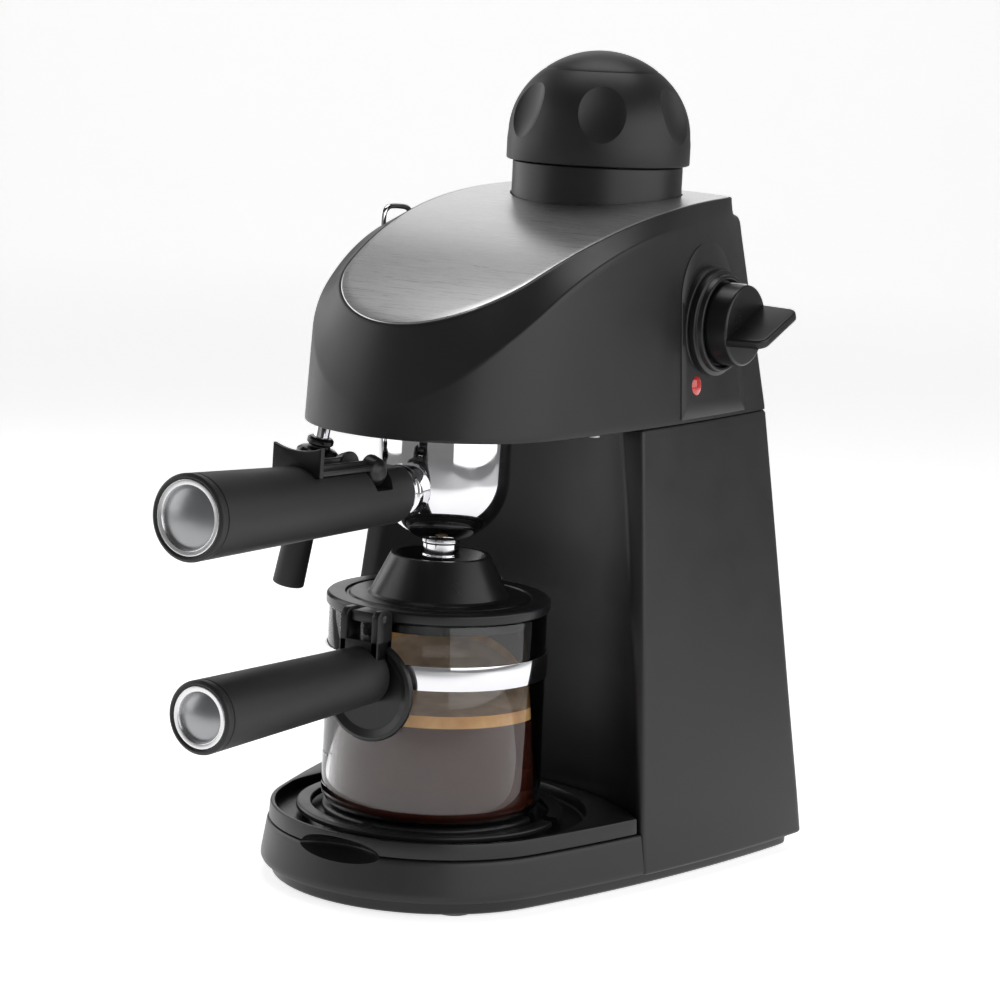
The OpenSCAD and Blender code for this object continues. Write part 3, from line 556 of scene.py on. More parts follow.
def bezier(a, b, c, steps=6):
    a, b, c = Vector(a), Vector(b), Vector(c)
    return [a * (1 - t) ** 2 + b * 2 * t * (1 - t) + c * t * t
            for t in [k / steps for k in range(steps + 1)]]


# ---- Housing -----------------------------------------------------------------------


def column_ring(z, inset=0.0):
    """Section of the column: outer skin, rounded front edges and the hollow front."""
    soft = 1.5
    front = column_front(z) + inset
    r = mix(SCOOP_R["deck"], SCOOP_R["top"], (z - DECK_Z) / (HEAD_Z - DECK_Z)) + inset
    scoop_y = SCOOP_DEPTH_Y - SCOOP_R["top"]
    inner = math.sqrt(r * r - (front - scoop_y) ** 2)
    inner_soft = math.sqrt(r * r - (front + soft - scoop_y) ** 2)
    outer = column_half(front, z, inset)
    outer_soft = column_half(front + soft, z, inset)
    right = bezier((outer - soft, front), (outer, front), (outer_soft, front + soft))
    right += [Vector((column_half(y, z, inset), y))
              for y in stations(front + soft, BACK_Y - inset, 56)[1:]]
    left = [Vector((-p.x, p.y)) for p in right[-2::-1]]
    lip_left = bezier((-inner - soft, front), (-inner, front), (-inner_soft, front + soft))
    start = math.atan2(front + soft - scoop_y, -inner_soft)
    hollow = [Vector((r * math.cos(mix(start, math.pi - start, k / 40)),
                      scoop_y + r * math.sin(mix(start, math.pi - start, k / 40)))) for k in range(1, 40)]
    lip_right = [Vector((-p.x, p.y)) for p in lip_left[::-1]]
    return [(p.x, p.y, z) for p in right + left + lip_left + hollow + lip_right]


def make_column():
    levels = [(BASE_Z, 1.0), (BASE_Z + 0.3, 0.4), (BASE_Z + 1.0, 0.0)]
    levels += [(mix(BASE_Z + 1.5, HEAD_Z - 1.2, k / 46), 0.0) for k in range(47)]
    levels += [(HEAD_Z - 0.5, 0.25), (HEAD_Z - 0.2, 0.7)]
    rings = [column_ring(z, inset) for z, inset in levels]
    return piece("column_shell", skin(rings), SHELL, "body_shell", crease=40)


def make_base():
    """Front of the base, from the column's edges round the front."""
    seam_y = column_front(BASE_Z) - 0.2

    def ring(z, inset):
        t = 0 if z > DECK_Z else (z - BASE_Z) / (DECK_Z - BASE_Z)
        r = mix(FRONT_R["base"], FRONT_R["deck"], t) - inset
        half = [(half_width(y, r, BASE_FLANK, BACK_Y, BASE_BOW), y, z) for y in stations(-r, seam_y, 60)]
        return half + [(-x, y, z) for x, y, z in half[:0:-1]]

    levels = [(BASE_Z, 2.2), (BASE_Z + 0.4, 0.9), (BASE_Z + 1.4, 0.2), (BASE_Z + 3, 0.0)]
    levels += [(mix(BASE_Z + 4, DECK_Z - 1.0, k / 8), 0.0) for k in range(9)]
    levels += [(DECK_Z - 0.4, 0.15), (DECK_Z - 0.1, 0.5), (DECK_Z, 1.1)]
    obj = build("base_front", *skin([ring(z, inset) for z, inset in levels]), SHELL, (), 40)
    bowl = build("bowl", *ellipsoid((0, -66, DECK_Z), (20, 14, 4)), SHELL, (), 40)
    carve(obj, bowl, crease=40)
    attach(obj, "housing")
    return obj


def ellipsoid(middle, radii, n=64, turn=Matrix.Identity(4)):
    rows = 32
    profile = [(math.sin(math.pi * k / rows), -math.cos(math.pi * k / rows)) for k in range(rows + 1)]
    verts, faces = lathe(profile, n)
    return [Vector(middle) + turn.to_3x3() @ Vector((v[0] * radii[0], v[1] * radii[1], v[2] * radii[2]))
            for v in verts], faces


def head_ring(r, flank, back, bow, z_of, inset=0.0, lift=0.0, steps=90):
    half = [(half_width(y, r - inset, flank, back - inset, bow), y, z_of(y) + lift)
            for y in stations(inset - r, back - inset, steps)]
    return mirrored(half)


def blend_rings(a, b, t, bow=0.0):
    """Ring between two rings, pushed outwards by bow at the middle."""
    out = []
    for p, q in zip(a, b):
        v = Vector(p).lerp(Vector(q), t)
        flat = Vector((v.x, v.y - 60, 0))
        out.append(tuple(v + flat.normalized() * bow * 4 * t * (1 - t)))
    return out


def make_head():
    """The head: upright walls up to a soft crease, then a slope to the steel plate's edge."""
    foot = head_ring(FRONT_R["head"], HEAD_FLANK, BACK_Y, HEAD_BOW, lambda y: HEAD_Z)
    crease = head_ring(FRONT_R["crease"], CREASE_FLANK, BACK_Y, HEAD_BOW, crease_z)
    rim = head_ring(FRONT_R["plate"] + 1.1, PLATE_FLANK, PLATE_BACK_Y + 1.1, PLATE_BOW, plate_z, lift=-0.5)
    well = head_ring(FRONT_R["plate"] + 0.25, PLATE_FLANK, PLATE_BACK_Y + 0.25, PLATE_BOW, plate_z)
    rings = [head_ring(FRONT_R["head"], HEAD_FLANK, BACK_Y, HEAD_BOW, lambda y: HEAD_Z, inset=2.2, lift=2.6),
             head_ring(FRONT_R["head"], HEAD_FLANK, BACK_Y, HEAD_BOW, lambda y: HEAD_Z, inset=2.0),
             head_ring(FRONT_R["head"], HEAD_FLANK, BACK_Y, HEAD_BOW, lambda y: HEAD_Z, inset=0.6),
             head_ring(FRONT_R["head"], HEAD_FLANK, BACK_Y, HEAD_BOW, lambda y: HEAD_Z, inset=0.15, lift=0.25)]
    rings.append(blend_rings(foot, crease, 0.02))
    rings += [blend_rings(foot, crease, 0.06 + 0.86 * k / 24) for k in range(25)]
    before = blend_rings(foot, crease, 0.955)
    after = blend_rings(crease, rim, 0.07)
    for k in range(7):
        t = k / 6
        rings.append([tuple(Vector(p) * (1 - t) ** 2 + Vector(q) * 2 * t * (1 - t) + Vector(s) * t * t)
                      for p, q, s in zip(before, crease, after)])
    rings += [blend_rings(crease, rim, 0.1 + 0.86 * k / 12, 0.0) for k in range(13)]
    rings.append(rim)
    rings.append([tuple(Vector(p).lerp(Vector(q), 0.5) + Vector((0, 0, 0.05))) for p, q in zip(rim, well)])
    rings.append([(x, y, z - 0.3) for x, y, z in well])
    rings.append([(x, y, z - 1.4) for x, y, z in well])
    obj = build("head_cover", *skin(rings, False, True), SHELL, (), 50)
    hole = build("hole", *lathe([(0, 230), (34.7, 230), (34.7, 300), (0, 300)], 128), SHELL, (), 30,
                 at=lambda v: place(v) + Vector((0, BOILER_Y * MM, 0)))
    pointer = build("pointer", *pointer_pit(), SHELL, ())
    carve(obj, hole, pointer, crease=50)
    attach(obj, "housing")
    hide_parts("head_shell")
    return obj


def pointer_pit():
    """Small triangular mark that is sunk into the head above the knob."""
    tip = KNOB.z + 22.5
    outline = [(KNOB.y - 3.6, tip + 5.5), (KNOB.y + 3.2, tip + 5.5), (KNOB.y - 0.2, tip)]
    rings = [[(x, y, z) for y, z in outline] for x in (54.6, 80)]
    return skin(rings)


def wall_x(y, z):
    """Half width of the head's side wall at y and z."""
    low = half_width(y, FRONT_R["head"], HEAD_FLANK, BACK_Y, HEAD_BOW)
    high = half_width(y, FRONT_R["crease"], CREASE_FLANK, BACK_Y, HEAD_BOW)
    return mix(low, high, (z - HEAD_Z) / (crease_z(y) - HEAD_Z))


def make_knob_panel():
    """Thin round-topped pad on the side wall, and the round boss that carries the knob."""
    left, right, foot, head = KNOB.y - 24, KNOB.y + 26, HEAD_Z + 1.6, KNOB.z + 31
    outline = fillet([(left, foot, 0.5), (right, foot, 0.5), (right, head, 22), (left, head, 22)], 24, closed=True)
    dense = []
    for i, p in enumerate(outline):
        q = outline[(i + 1) % len(outline)]
        steps = max(1, int((q - p).length / 2.5))
        dense += [p.lerp(q, k / steps) for k in range(steps)]
    middle = Vector((KNOB.y, KNOB.z - 4))
    rings = []
    for share, rise in ((1.0, -0.6), (1.0, 0.3), (0.99, 0.5), (0.8, 0.5), (0.55, 0.5), (0.3, 0.5), (0.02, 0.5)):
        ring = []
        for p in dense:
            q = middle.lerp(p, share)
            ring.append((wall_x(q.x, q.y) + rise, q.x, q.y))
        rings.append(ring)
    pad = piece("knob_panel", skin(rings, False, True), SHELL, body="housing", crease=40)
    boss = lathe(fillet([(9.1, 0, 0), (22.2, 0, 0), (22.2, 60.75 - 53, 0.4), (9.1, 60.75 - 53, 0)], 4, closed=True), 96,
                 closed=True)
    seat = piece("knob_boss", moved(boss, knob_side(53)), SHELL, body="housing")


def make_plate():
    """Steel plate with a thin bright bevel, cut out around the boiler's collar."""
    def ring(inset, lift):
        return head_ring(FRONT_R["plate"], PLATE_FLANK, PLATE_BACK_Y, PLATE_BOW, plate_z, inset, lift)

    rings = [ring(0.35, -0.75), ring(0.02, -0.55), ring(0.0, -0.25), ring(0.12, -0.08), ring(0.45, 0.0)]
    outer = rings[-1]
    hole_r = 34.9
    hub = Vector((0, BOILER_Y, 0))
    steps = 26
    for k in range(1, steps + 1):
        t = k / steps
        ring_now = []
        for p in outer:
            flat = Vector((p[0], p[1], 0)) - hub
            target = flat.normalized() * hole_r
            q = hub + flat.lerp(target, t)
            ring_now.append((q.x, q.y, plate_z(q.y)))
        rings.append(ring_now)
    rings.append([(p[0], p[1], p[2] - 0.75) for p in rings[-1]])
    return piece("steel_plate", skin(rings, False, False), PLATE, "top_plate", crease=35)


def at_boiler(shape):
    return moved(shape, Matrix.Translation((0, BOILER_Y, 0)))


def make_collar():
    r = (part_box("neck_collar")[1].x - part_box("neck_collar")[0].x) / 2 / MM
    z0, z1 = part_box("neck_collar")[0].z / MM, top("neck_collar")
    neck = 34.35
    profile = fillet([(31.4, z0, 0), (r, z0, 0.3), (r, z0 + 2.4, 0.3), (neck, z0 + 2.4, 0), (neck, z1, 0.8),
                      (31.4, z1, 0.3)], 4, closed=True)
    return piece("boiler_collar", at_boiler(lathe(profile, 160, closed=True)), SHELL, "neck_collar")


def make_cap():
    """Domed cap: a lower skirt, a crown with a shallow disc on top and finger hollows."""
    lo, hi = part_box("cap_dome")
    r = (hi.x - lo.x) / 2 / MM
    rim, crown = lo.z / MM, hi.z / MM
    shoulder = crown - 34
    disc = math.radians(51)
    outer = [(r, rim + 0.7), (r - 0.02, shoulder - 2)]
    outer += [((r - 0.3) * math.cos(a), shoulder + (crown - shoulder - 0.5) * math.sin(a))
              for a in [disc * k / 40 for k in range(1, 41)]]
    edge_r, edge_z = outer[-1]
    cap_rise = crown - edge_z
    outer += [(edge_r - 0.25, edge_z - 0.12), (edge_r - 0.5, edge_z + 0.2)]
    ball = (edge_r ** 2 + cap_rise ** 2) / (2 * cap_rise)
    top_edge = math.asin((edge_r - 0.9) / ball)
    outer += [(ball * math.sin(top_edge * (1 - k / 14)), crown - ball + ball * math.cos(top_edge * (1 - k / 14)))
              for k in range(15)]
    inner = [(0, crown - 5), (18, crown - 7), (r - 7, shoulder + 4), (r - 5, shoulder - 4), (r - 2.6, rim + 0.3)]
    profile = inner[::1] + [(r - 2.3, rim), (r - 0.6, rim), (r - 0.15, rim + 0.25)] + outer
    obj = build("boiler_cap", *at_boiler(lathe(profile, 192)), CAP, (), 30)
    hollows = []
    for i in range(6):
        angle = math.radians(-57.5 + 60 * i)
        turn = Matrix.Rotation(angle, 4, "Z") @ Matrix.Rotation(math.radians(-19), 4, "Y")
        reach = r + 1.4
        middle = Vector((math.cos(angle) * reach, BOILER_Y + math.sin(angle) * reach, crown - 21.5))
        hollows.append(build(f"hollow{i}", *ellipsoid(middle, (7.6, 13.2, 20), 96, turn), CAP, ()))
    carve(obj, *hollows, crease=25)
    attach(obj, "cap_dome")
    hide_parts("cap_dome")


def make_knob():
    x0, x1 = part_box("knob_flange")[0].x / MM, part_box("knob_flange")[1].x / MM
    r = (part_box("knob_flange")[1].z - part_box("knob_flange")[0].z) / 2 / MM
    knob_r = 16.3
    depth = x1 - x0
    rim = fillet([(5, 0, 0), (r, 0, 0.3), (r, depth * 0.5, 0.5), (r - 1.6, depth * 0.5 + 0.3, 0.3),
                  (r - 1.9, depth, 0.7), (knob_r + 1.3, depth, 0.6), (knob_r + 0.8, 2.4, 0.3), (5, 2.4, 0)],
                 4, closed=True)
    piece("knob_seat", moved(lathe(rim, 128, closed=True), knob_side(x0)), TRIM, "knob_flange", crease=35)
    start = x0 + 2.6
    face = 75 - start
    profile = fillet([(3.1, 0, 0), (knob_r - 0.4, 0, 0.3), (knob_r, 3.0, 0.3), (knob_r - 0.3, face, 1.1),
                      (0, face - 0.1, 0)], 5)
    body = moved(lathe([(3.1, 6.0)] + list(profile), 128), knob_side(start))
    knob = build("knob_body", *body, TRIM, (), 32)
    slot_tool = build("slot", *block((67.2, KNOB.y - 1.5, KNOB.z + knob_r - 1.2),
                                     (73.8, KNOB.y + 1.5, KNOB.z + knob_r + 3), 0.2), TRIM, ())
    carve(knob, slot_tool, crease=32)
    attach(knob, "steam_knob")
    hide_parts("steam_knob")
    make_knob_blade()
    piece("marker_inlay", block((67.3, KNOB.y - 1.4, KNOB.z + knob_r - 1.15),
                                (73.7, KNOB.y + 1.4, KNOB.z + knob_r + 0.05), 0.25), WHITE, "knob_marker")


def make_knob_blade():
    """Grip blade across the knob's face: wide at its root, with round outer corners."""
    root = 74.2
    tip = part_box("steam_knob")[1].x / MM - 0.05
    outline = fillet([(-15.9, root, 0), (-14.8, tip, 4.2), (14.8, tip, 4.2), (15.9, root, 0)], 8, closed=True)
    shape = slab([(a, b) for a, b in outline], -1.9, 1.9, 1.1, 5)
    tilt = math.radians(22)
    turn = Matrix(((0, 1, 0, 0), (math.cos(tilt), 0, -math.sin(tilt), KNOB.y),
                   (math.sin(tilt), 0, math.cos(tilt), KNOB.z), (0, 0, 0, 1)))
    obj = piece("knob_blade", moved(shape, turn), TRIM, body="steam_knob", crease=40)


def make_lamp():
    lo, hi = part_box("indicator_lamp")
    r = 5.0
    reach = hi.x / MM
    profile = [(r * math.sin(math.pi / 2 * k / 16), reach - 2.6 * (1 - math.cos(math.pi / 2 * k / 16)))
               for k in range(17)]
    profile += [(r, reach - 6), (0, reach - 6)]
    mid = (lo + hi) / 2 / MM
    turn = Matrix.Translation((0, mid.y - BREW_Y, mid.z)) @ Matrix.Rotation(math.radians(90), 4, "Y")
    piece("lamp_lens", moved(lathe(profile, 64), turn), LENS, "indicator_lamp")


def make_bail():
    x = centre("wire_bail").x
    points = [(33, 243), (33, 250), (33.6, 253.3), (36, 255.1), (39, 255.5), (45, 255.2), (49, 254.5),
              (51.4, 252.9), (52, 250.4), (52, 243)]
    path = curve_through([(x, y, z) for y, z in points], 6)
    piece("bail_wire", sweep(path, 1.15, 16), CHROME, "wire_bail")


# ---- Portafilter -----------------------------------------------------------------------


def make_cup():
    lo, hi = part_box("portafilter_cup")
    rim_z = hi.z / MM
    r = 25.4
    ball_z = HANDLE_Z - 1.9
    low = 133.6
    bowl = [(r * math.cos(a), ball_z - r * math.sin(a))
            for a in [math.asin((ball_z - low) / r) * k / 40 for k in range(41)]][::-1]
    outer = [(3.6, lo.z / MM + 0.5), (4.0, lo.z / MM + 0.5), (4.0, low + 0.02)] + bowl
    outer += [(r, rim_z - 0.5), (r - 0.2, rim_z), (r - 0.7, rim_z), (r - 0.8, ball_z + 6)]
    inner = [(20 * math.cos(a), ball_z + 6 - 20 * math.sin(a)) for a in
             [math.radians(80) * k / 24 for k in range(25)]]
    profile = outer + inner + [(3.6, low + 2)]
    cup = piece("cup", lathe(profile, 192, closed=True), CHROME, "portafilter_cup", crease=35)
    for side in (-1, 1):
        ear = [(x * side, y) for x, y in
               arc(30.9, -14, 14, 12)] + [(x * side, y) for x, y in arc(25.2, 17, -17, 12)]
        lug = piece(f"cup_ear_{'left' if side < 0 else 'right'}", slab(ear, 186.3, 189.5, 0.5), CHROME,
                    body="portafilter")
    return cup


def make_spout():
    lo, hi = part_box("spout_nozzle")
    z0, z1 = lo.z / MM - 1.8, hi.z / MM - 1.8
    profile = fillet([(4.05, z0, 0.3), (7.3, z0, 0.5), (7.3, z0 + 1.0, 0.3), (6.9, z0 + 1.5, 0.4),
                      (6.9, z1 - 1.6, 0.4), (7.3, z1 - 1.1, 0.3), (7.3, z1, 0.2), (4.05, z1, 0)], 4, closed=True)
    piece("spout_tip", lathe(profile, 96, closed=True), CHROME, "spout_nozzle", crease=40)


def make_neck():
    """Chrome collar between the cup and the handle, flared where it meets the cup."""
    y0, y1 = 24.0, 36.0
    profile = fillet([(0, 0, 0), (10.0, 0, 0.3), (10.0, 6.6, 0.5), (8.9, 7.4, 0.5), (9.1, 9.6, 0.6),
                      (9.9, 10.6, 0.6), (9.9, y1 - y0, 0.3), (0, y1 - y0, 0)], 4)
    piece("handle_neck", moved(lathe(profile, 96), handle_tilt() @ forward(y0, HANDLE_Z)), CHROME, "handle_collar",
          crease=40)


def handle_shape(y0, y1, r0, r1):
    """Tapered round grip with a groove before its end and a rounded rim."""
    length = y1 - y0
    def at(s):
        return mix(r0, r1, s / length)
    profile = fillet([
        (3.2, 0, 0), (r0 - 0.9, 0, 0.3), (r0, 1.1, 1.0), (at(length * 0.5), length * 0.5, 0),
        (at(length - 4.4), length - 4.4, 0.3), (at(length - 4.4) - 0.45, length - 4.2, 0.1),
        (at(length - 3.9) - 0.45, length - 3.8, 0.1), (at(length - 3.6), length - 3.5, 0.3),
        (r1, length - 0.8, 0.7), (r1 - 1.2, length, 0.5), (r1 - 1.9, length - 0.6, 0.3),
        (r1 - 1.95, length - 3.0, 0), (3.2, length - 3.0, 0)], 4)
    return lathe(list(profile) + [(3.2, 0)], 160)


def make_grip(node, ring_node, cap_node, z, r0, r1, turn):
    lo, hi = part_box(node)
    y1 = -(lo.y / MM - BREW_Y)
    y0 = -(hi.y / MM - BREW_Y)
    obj = build(f"{node}_grip", *moved(handle_shape(y0, y1, r0, r1), turn @ forward(y0, z)), GRIP, (), 35)
    inner = r1 - 4.5
    ring = fillet([(inner - 0.2, 0, 0), (r1 - 2.0, 0, 0), (r1 - 2.0, 2.5, 0.5), (inner + 0.5, 2.3, 0.5),
                   (inner - 0.2, 1.0, 0.2)], 4, closed=True)
    piece(f"{ring_node}_trim", moved(lathe(ring, 128, closed=True), turn @ forward(y1 - 2.9, z)), RING, ring_node)
    rise = 2.9
    ball = (inner ** 2 + rise ** 2) / (2 * rise)
    spread_angle = math.asin(inner / ball)
    dome = [(inner, -0.6)]
    dome += [(ball * math.sin(spread_angle * (1 - k / 20)), rise - ball + ball * math.cos(spread_angle * (1 - k / 20)))
             for k in range(21)]
    dome.append((0, -0.6))
    piece(f"{cap_node}_dome", moved(lathe(dome, 128), turn @ forward(y1 - 2.1, z)), DOME, cap_node)
    return obj


def make_portafilter_handle():
    tilt = handle_tilt()
    obj = make_grip("portafilter_handle", "handle_ring", "handle_cap", HANDLE_Z, 12.0, 15.6, tilt)
    hub = centre("clip_pin")
    y = hub.y - BREW_Y
    plate_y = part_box("filter_clip")[0].y / MM - BREW_Y
    flat = block((-20, plate_y - 0.4, HANDLE_Z + 6.7), (20, y + 22, HANDLE_Z + 30), 0.2)
    tools = [build("flat", *moved(flat, clip_tilt()), GRIP, ())]
    for side in (-1, 1):
        x0, x1 = sorted((side * 3.8, side * 24))
        outline = fillet([(y - 7.4, HANDLE_Z + 8, 0), (y - 5.2, HANDLE_Z, 1.0), (y + 5.2, HANDLE_Z, 1.0),
                          (y + 7.4, HANDLE_Z + 8, 0)], 4, closed=True)
        notch = skin([[(x, a, b) for a, b in outline] for x in (x0, x1)])
        tools.append(build(f"notch{side}", *moved(notch, clip_tilt()), GRIP, ()))
    carve(obj, *tools, crease=35)
    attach(obj, "portafilter")
    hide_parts("portafilter_handle")


def make_clip():
    """Filter clip: hinge hub, ribbed arm and an upright thumb plate hollowed along its top."""
    lo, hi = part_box("filter_clip")
    hub = centre("clip_pin")
    y = hub.y - BREW_Y
    z = hub.z
    low = HANDLE_Z + 7.1
    top_z = hi.z / MM
    front = lo.y / MM - BREW_Y
    shapes = []
    for side in (-1, 1):
        hub_profile = fillet([(0, 6.7, 0), (2.6, 6.5, 2.0), (5.0, 4.6, 2.5), (6.2, 1.2, 1.5), (6.2, 0, 0.4), (0, 0, 0)], 5)
        turn = Matrix.Translation((side * 4.1, y, z)) @ Matrix.Rotation(math.radians(90 * side), 4, "Y")
        shapes.append(moved(lathe(hub_profile, 64), turn))
        shapes.append(block((side * 5.5 - 0.8, front + 1.2, low), (side * 5.5 + 0.8, y - 4.2, low + 3.7), 0.5))
    shapes.append(block((-9.4, front + 1.2, low), (9.4, y - 4.8, low + 2.2), 0.5))
    horn = 10.8
    half = math.degrees(math.asin(horn / 30))
    dip = arc(30, 270 + half, 270 - half, 14, (0, top_z + 30 * math.cos(math.radians(half))))
    outline = [(-horn, low), (horn, low)] + dip
    plate = slab(outline, 0, 2.4, 0.5)
    turn = Matrix.Translation((0, front + 2.4, 0)) @ Matrix.Rotation(math.radians(90), 4, "X")
    shapes.append(moved(plate, turn))
    shapes.append(block((-8, front + 2.0, low + 1.5), (8, front + 5.0, low + 3.6), 0.8))
    piece("clip", moved(joined(*shapes), clip_tilt()), TRIM, "filter_clip", crease=40)


# ---- Steam wand --------------------------------------------------------------------------


def wand_points():
    socket = centre("wand_socket") - Vector((0, BREW_Y, 0))
    sleeve_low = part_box("froth_sleeve")[0].z / MM
    bend = Vector((-44.5, -18.8, 172))
    tip = Vector((-56.1, -22.0, sleeve_low + 5.6))
    return Vector((socket.x, socket.y, HEAD_Z + 6)), bend, tip


def along_wand(distance):
    _, bend, tip = wand_points()
    axis = (tip - bend).normalized()
    return Matrix.Translation(bend + axis * distance) @ axis.to_track_quat("Z", "Y").to_matrix().to_4x4()


def make_wand():
    head, bend, tip = wand_points()
    axis = (tip - bend).normalized()
    bent = bezier(bend + (head - bend).normalized() * 4, bend, bend + axis * 4, 8)
    path = [head, head - Vector((0, 0, 6.4))] + bent + [bend + axis * 20, bend + axis * 40, tip - axis * 4]
    ball = ellipsoid(head, (3.4, 3.4, 3.4), 48)
    piece("wand_tube", joined(sweep(path, 3.0, 32), ball), CHROME, "steam_wand", crease=40)
    low = fillet([(3.1, 0, 0), (4.4, 0, 0.6), (5.2, 0.9, 0.5), (5.2, 2.5, 0.6), (4.3, 3.1, 0.4), (4.4, 3.9, 0.3),
                  (6.9, 4.6, 0.5), (8.3, 5.8, 0.6), (8.4, 7.6, 0.9), (6.6, 8.6, 0.6), (6.3, 10.4, 0.8), (3.1, 10.5, 0)],
                 4, closed=True)
    piece("wand_rings", moved(lathe(low, 96, closed=True), along_wand(2.6)), LENS_BLACK, "wand_grip", crease=35)
    lo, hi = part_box("froth_sleeve")
    length = (tip - bend).length
    profile = fillet([(3.1, 0, 0), (5.6, 0, 0.7), (6.2, 33.9, 0.8), (1.8, 33.9, 0.3), (1.8, 30, 0.2), (3.1, 30, 0)],
                     4, closed=True)
    piece("froth_tube", moved(lathe(profile, 96, closed=True), along_wand(length - 34)), GRIP, "froth_sleeve")


# ---- Tray ------------------------------------------------------------------------------


def tray_ring(z, inset, steps=90):
    """Outline of the tray, which follows the base in front and the column's hollow behind."""
    scoop_y = SCOOP_DEPTH_Y - SCOOP_R["top"]
    r = SCOOP_R["deck"] - inset - 0.3
    back = scoop_y + r
    front_r = FRONT_R["deck"] - inset
    half = []
    for y in stations(-front_r, back, steps):
        wide = half_width(y, front_r, BASE_FLANK, BACK_Y - inset, BASE_BOW)
        hollow = math.sqrt(max(0, r * r - (y - scoop_y) ** 2))
        half.append((min(wide, hollow), y, z))
    return mirrored(half)


def well_ring(z, inset, reach):
    """Edge of the tray's well: its outline moved in, and no further out than reach."""
    out = []
    for x, y, _ in tray_ring(z, inset):
        d = Vector((x, y))
        d = d * min(1, reach / d.length)
        out.append((d.x, d.y, z))
    return out


def make_tray():
    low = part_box("drip_tray")[0].z / MM
    rings = [tray_ring(low, 1.0), tray_ring(low + 0.3, 0.65), tray_ring(low + 1, 0.62),
             tray_ring(TRAY_Z - 0.8, 0.85), tray_ring(TRAY_Z - 0.2, 1.05), tray_ring(TRAY_Z, 1.4)]
    rings += [well_ring(TRAY_Z, 2.3, 61.6), well_ring(TRAY_Z - 0.15, 2.6, 61.2), well_ring(TRAY_Z - 0.6, 2.7, 61),
              well_ring(low + 2.0, 2.9, 60.8), well_ring(low + 1.4, 3.6, 60)]
    obj = build("tray", *skin(rings), TRAY, (), 35)
    shell = build("shell", *ellipsoid((0, -66, DECK_Z), (21.4, 15.4, 6.6), 96), TRAY, ())
    prism = build("prism", *skin([tray_ring(low + 0.4, 0.9), tray_ring(TRAY_Z - 0.4, 0.9)]), TRAY, ())
    carve(shell, prism, operation="INTERSECT")
    carve(obj, shell, operation="UNION")
    bowl = build("bowl", *ellipsoid((0, -66, DECK_Z), (20, 14, 5.4), 96), TRAY, ())
    carve(obj, bowl, crease=35)
    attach(obj, "drip_tray")
    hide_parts("drip_tray")


def make_grille():
    """Round rack of ring-shaped slats with soft edges, split behind the middle."""
    top_z = top("drip_grille")
    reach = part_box("drip_grille")[1].x / MM
    low = top_z - 2.4
    slats = []
    for i in range(4):
        r = reach - 10 * i
        slats.append(lathe(fillet([(r - 6, low, 0.3), (r, low, 0.3), (r, top_z, 1.0), (r - 6, top_z, 1.0)], 4,
                                  closed=True), 160, closed=True))
    obj = build("slats", *joined(*slats), TRAY, (), 40)
    cuts = [build(f"gap{side}", *block((min(side * 4, side * 60), 8, low - 1), (max(side * 4, side * 60), 14, top_z + 1),
                                       0.1), TRAY, ()) for side in (-1, 1)]
    carve(obj, *cuts, crease=40)
    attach(obj, "drip_tray")
    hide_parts("drip_grille")
    floor_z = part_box("drip_grille")[0].z / MM
    legs = [block((-2, 1.5 - reach, low + 0.1), (2, reach - 1.5, top_z - 0.15), 0.4)]
    for a in (45, 135, 225, 315):
        spot = Matrix.Translation(((reach - 3) * math.cos(math.radians(a)), (reach - 3) * math.sin(math.radians(a)), 0))
        legs.append(moved(lathe([(0, floor_z), (1.2, floor_z), (1.4, floor_z + 0.3), (1.4, low + 0.5), (0, low + 0.5)],
                                24), spot))
    frame_piece = piece("grille_spine", joined(*legs), TRAY, body="drip_tray", crease=40)


# ---- Carafe ---------------------------------------------------------------------------


def make_glass():
    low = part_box("carafe_glass")[0].z / MM
    rim = top("carafe_glass")
    edge, wall = 6.0, 2.2
    r = GLASS_R
    outer = [(0, low + 0.6), (r - edge - 4, low + 0.6), (r - edge - 2.4, low + 0.1)]
    outer += [(r - edge + edge * math.sin(math.radians(90 * k / 12)), low + edge - edge * math.cos(math.radians(90 * k / 12)))
              for k in range(13)]
    top_r = r - 0.6
    lip = [(top_r, rim - 1.0), (top_r - 0.3, rim - 0.3), (top_r - 1.1, rim), (top_r - wall + 0.3, rim - 0.3),
           (top_r - wall, rim - 1.0)]
    inner = [(r - edge + (edge - wall) * math.sin(math.radians(90 * k / 12)),
              low + edge - (edge - 1.6) * math.cos(math.radians(90 * k / 12))) for k in range(12, -1, -1)]
    profile = outer + lip + [(r - wall, low + edge)] + inner[1:] + [(0, low + 1.7)]
    piece("glass_jug", lathe(profile, 192), GLASS, "carafe_glass", crease=50)
    make_coffee(low, r - wall, edge - wall)


def make_coffee(low, r, edge):
    """Coffee and its foam, a hair inside the glass."""
    gap = 0.08
    level, foam = 67.5, 72.2
    base = low + 1.7 + gap
    corner = [(r - edge - gap + edge * math.sin(math.radians(90 * k / 8)),
               base + edge - edge * math.cos(math.radians(90 * k / 8))) for k in range(9)]

    def wall_r(z):
        return r - gap - 0.6 * (z - low) / 76

    profile = [(0, base)] + corner + [(wall_r(level), level), (0, level)]
    liquid = piece("coffee_fill", lathe(profile, 160), COFFEE, body="carafe", crease=40)
    edge_r = wall_r(foam)
    profile = [(edge_r - 3, level + 0.03), (wall_r(level), level + 0.03), (edge_r, foam), (edge_r - 0.5, foam - 0.3),
               (edge_r - 3, foam - 1.0)]
    rim = piece("crema_rim", lathe(profile, 160, closed=True), CREMA_EDGE, body="carafe", crease=40)
    profile = [(0, level + 0.03), (edge_r - 3.02, level + 0.03), (edge_r - 3.02, foam - 1.02), (0, foam - 1.5)]
    crema = piece("crema", lathe(profile, 160), CREMA, body="carafe", crease=40)


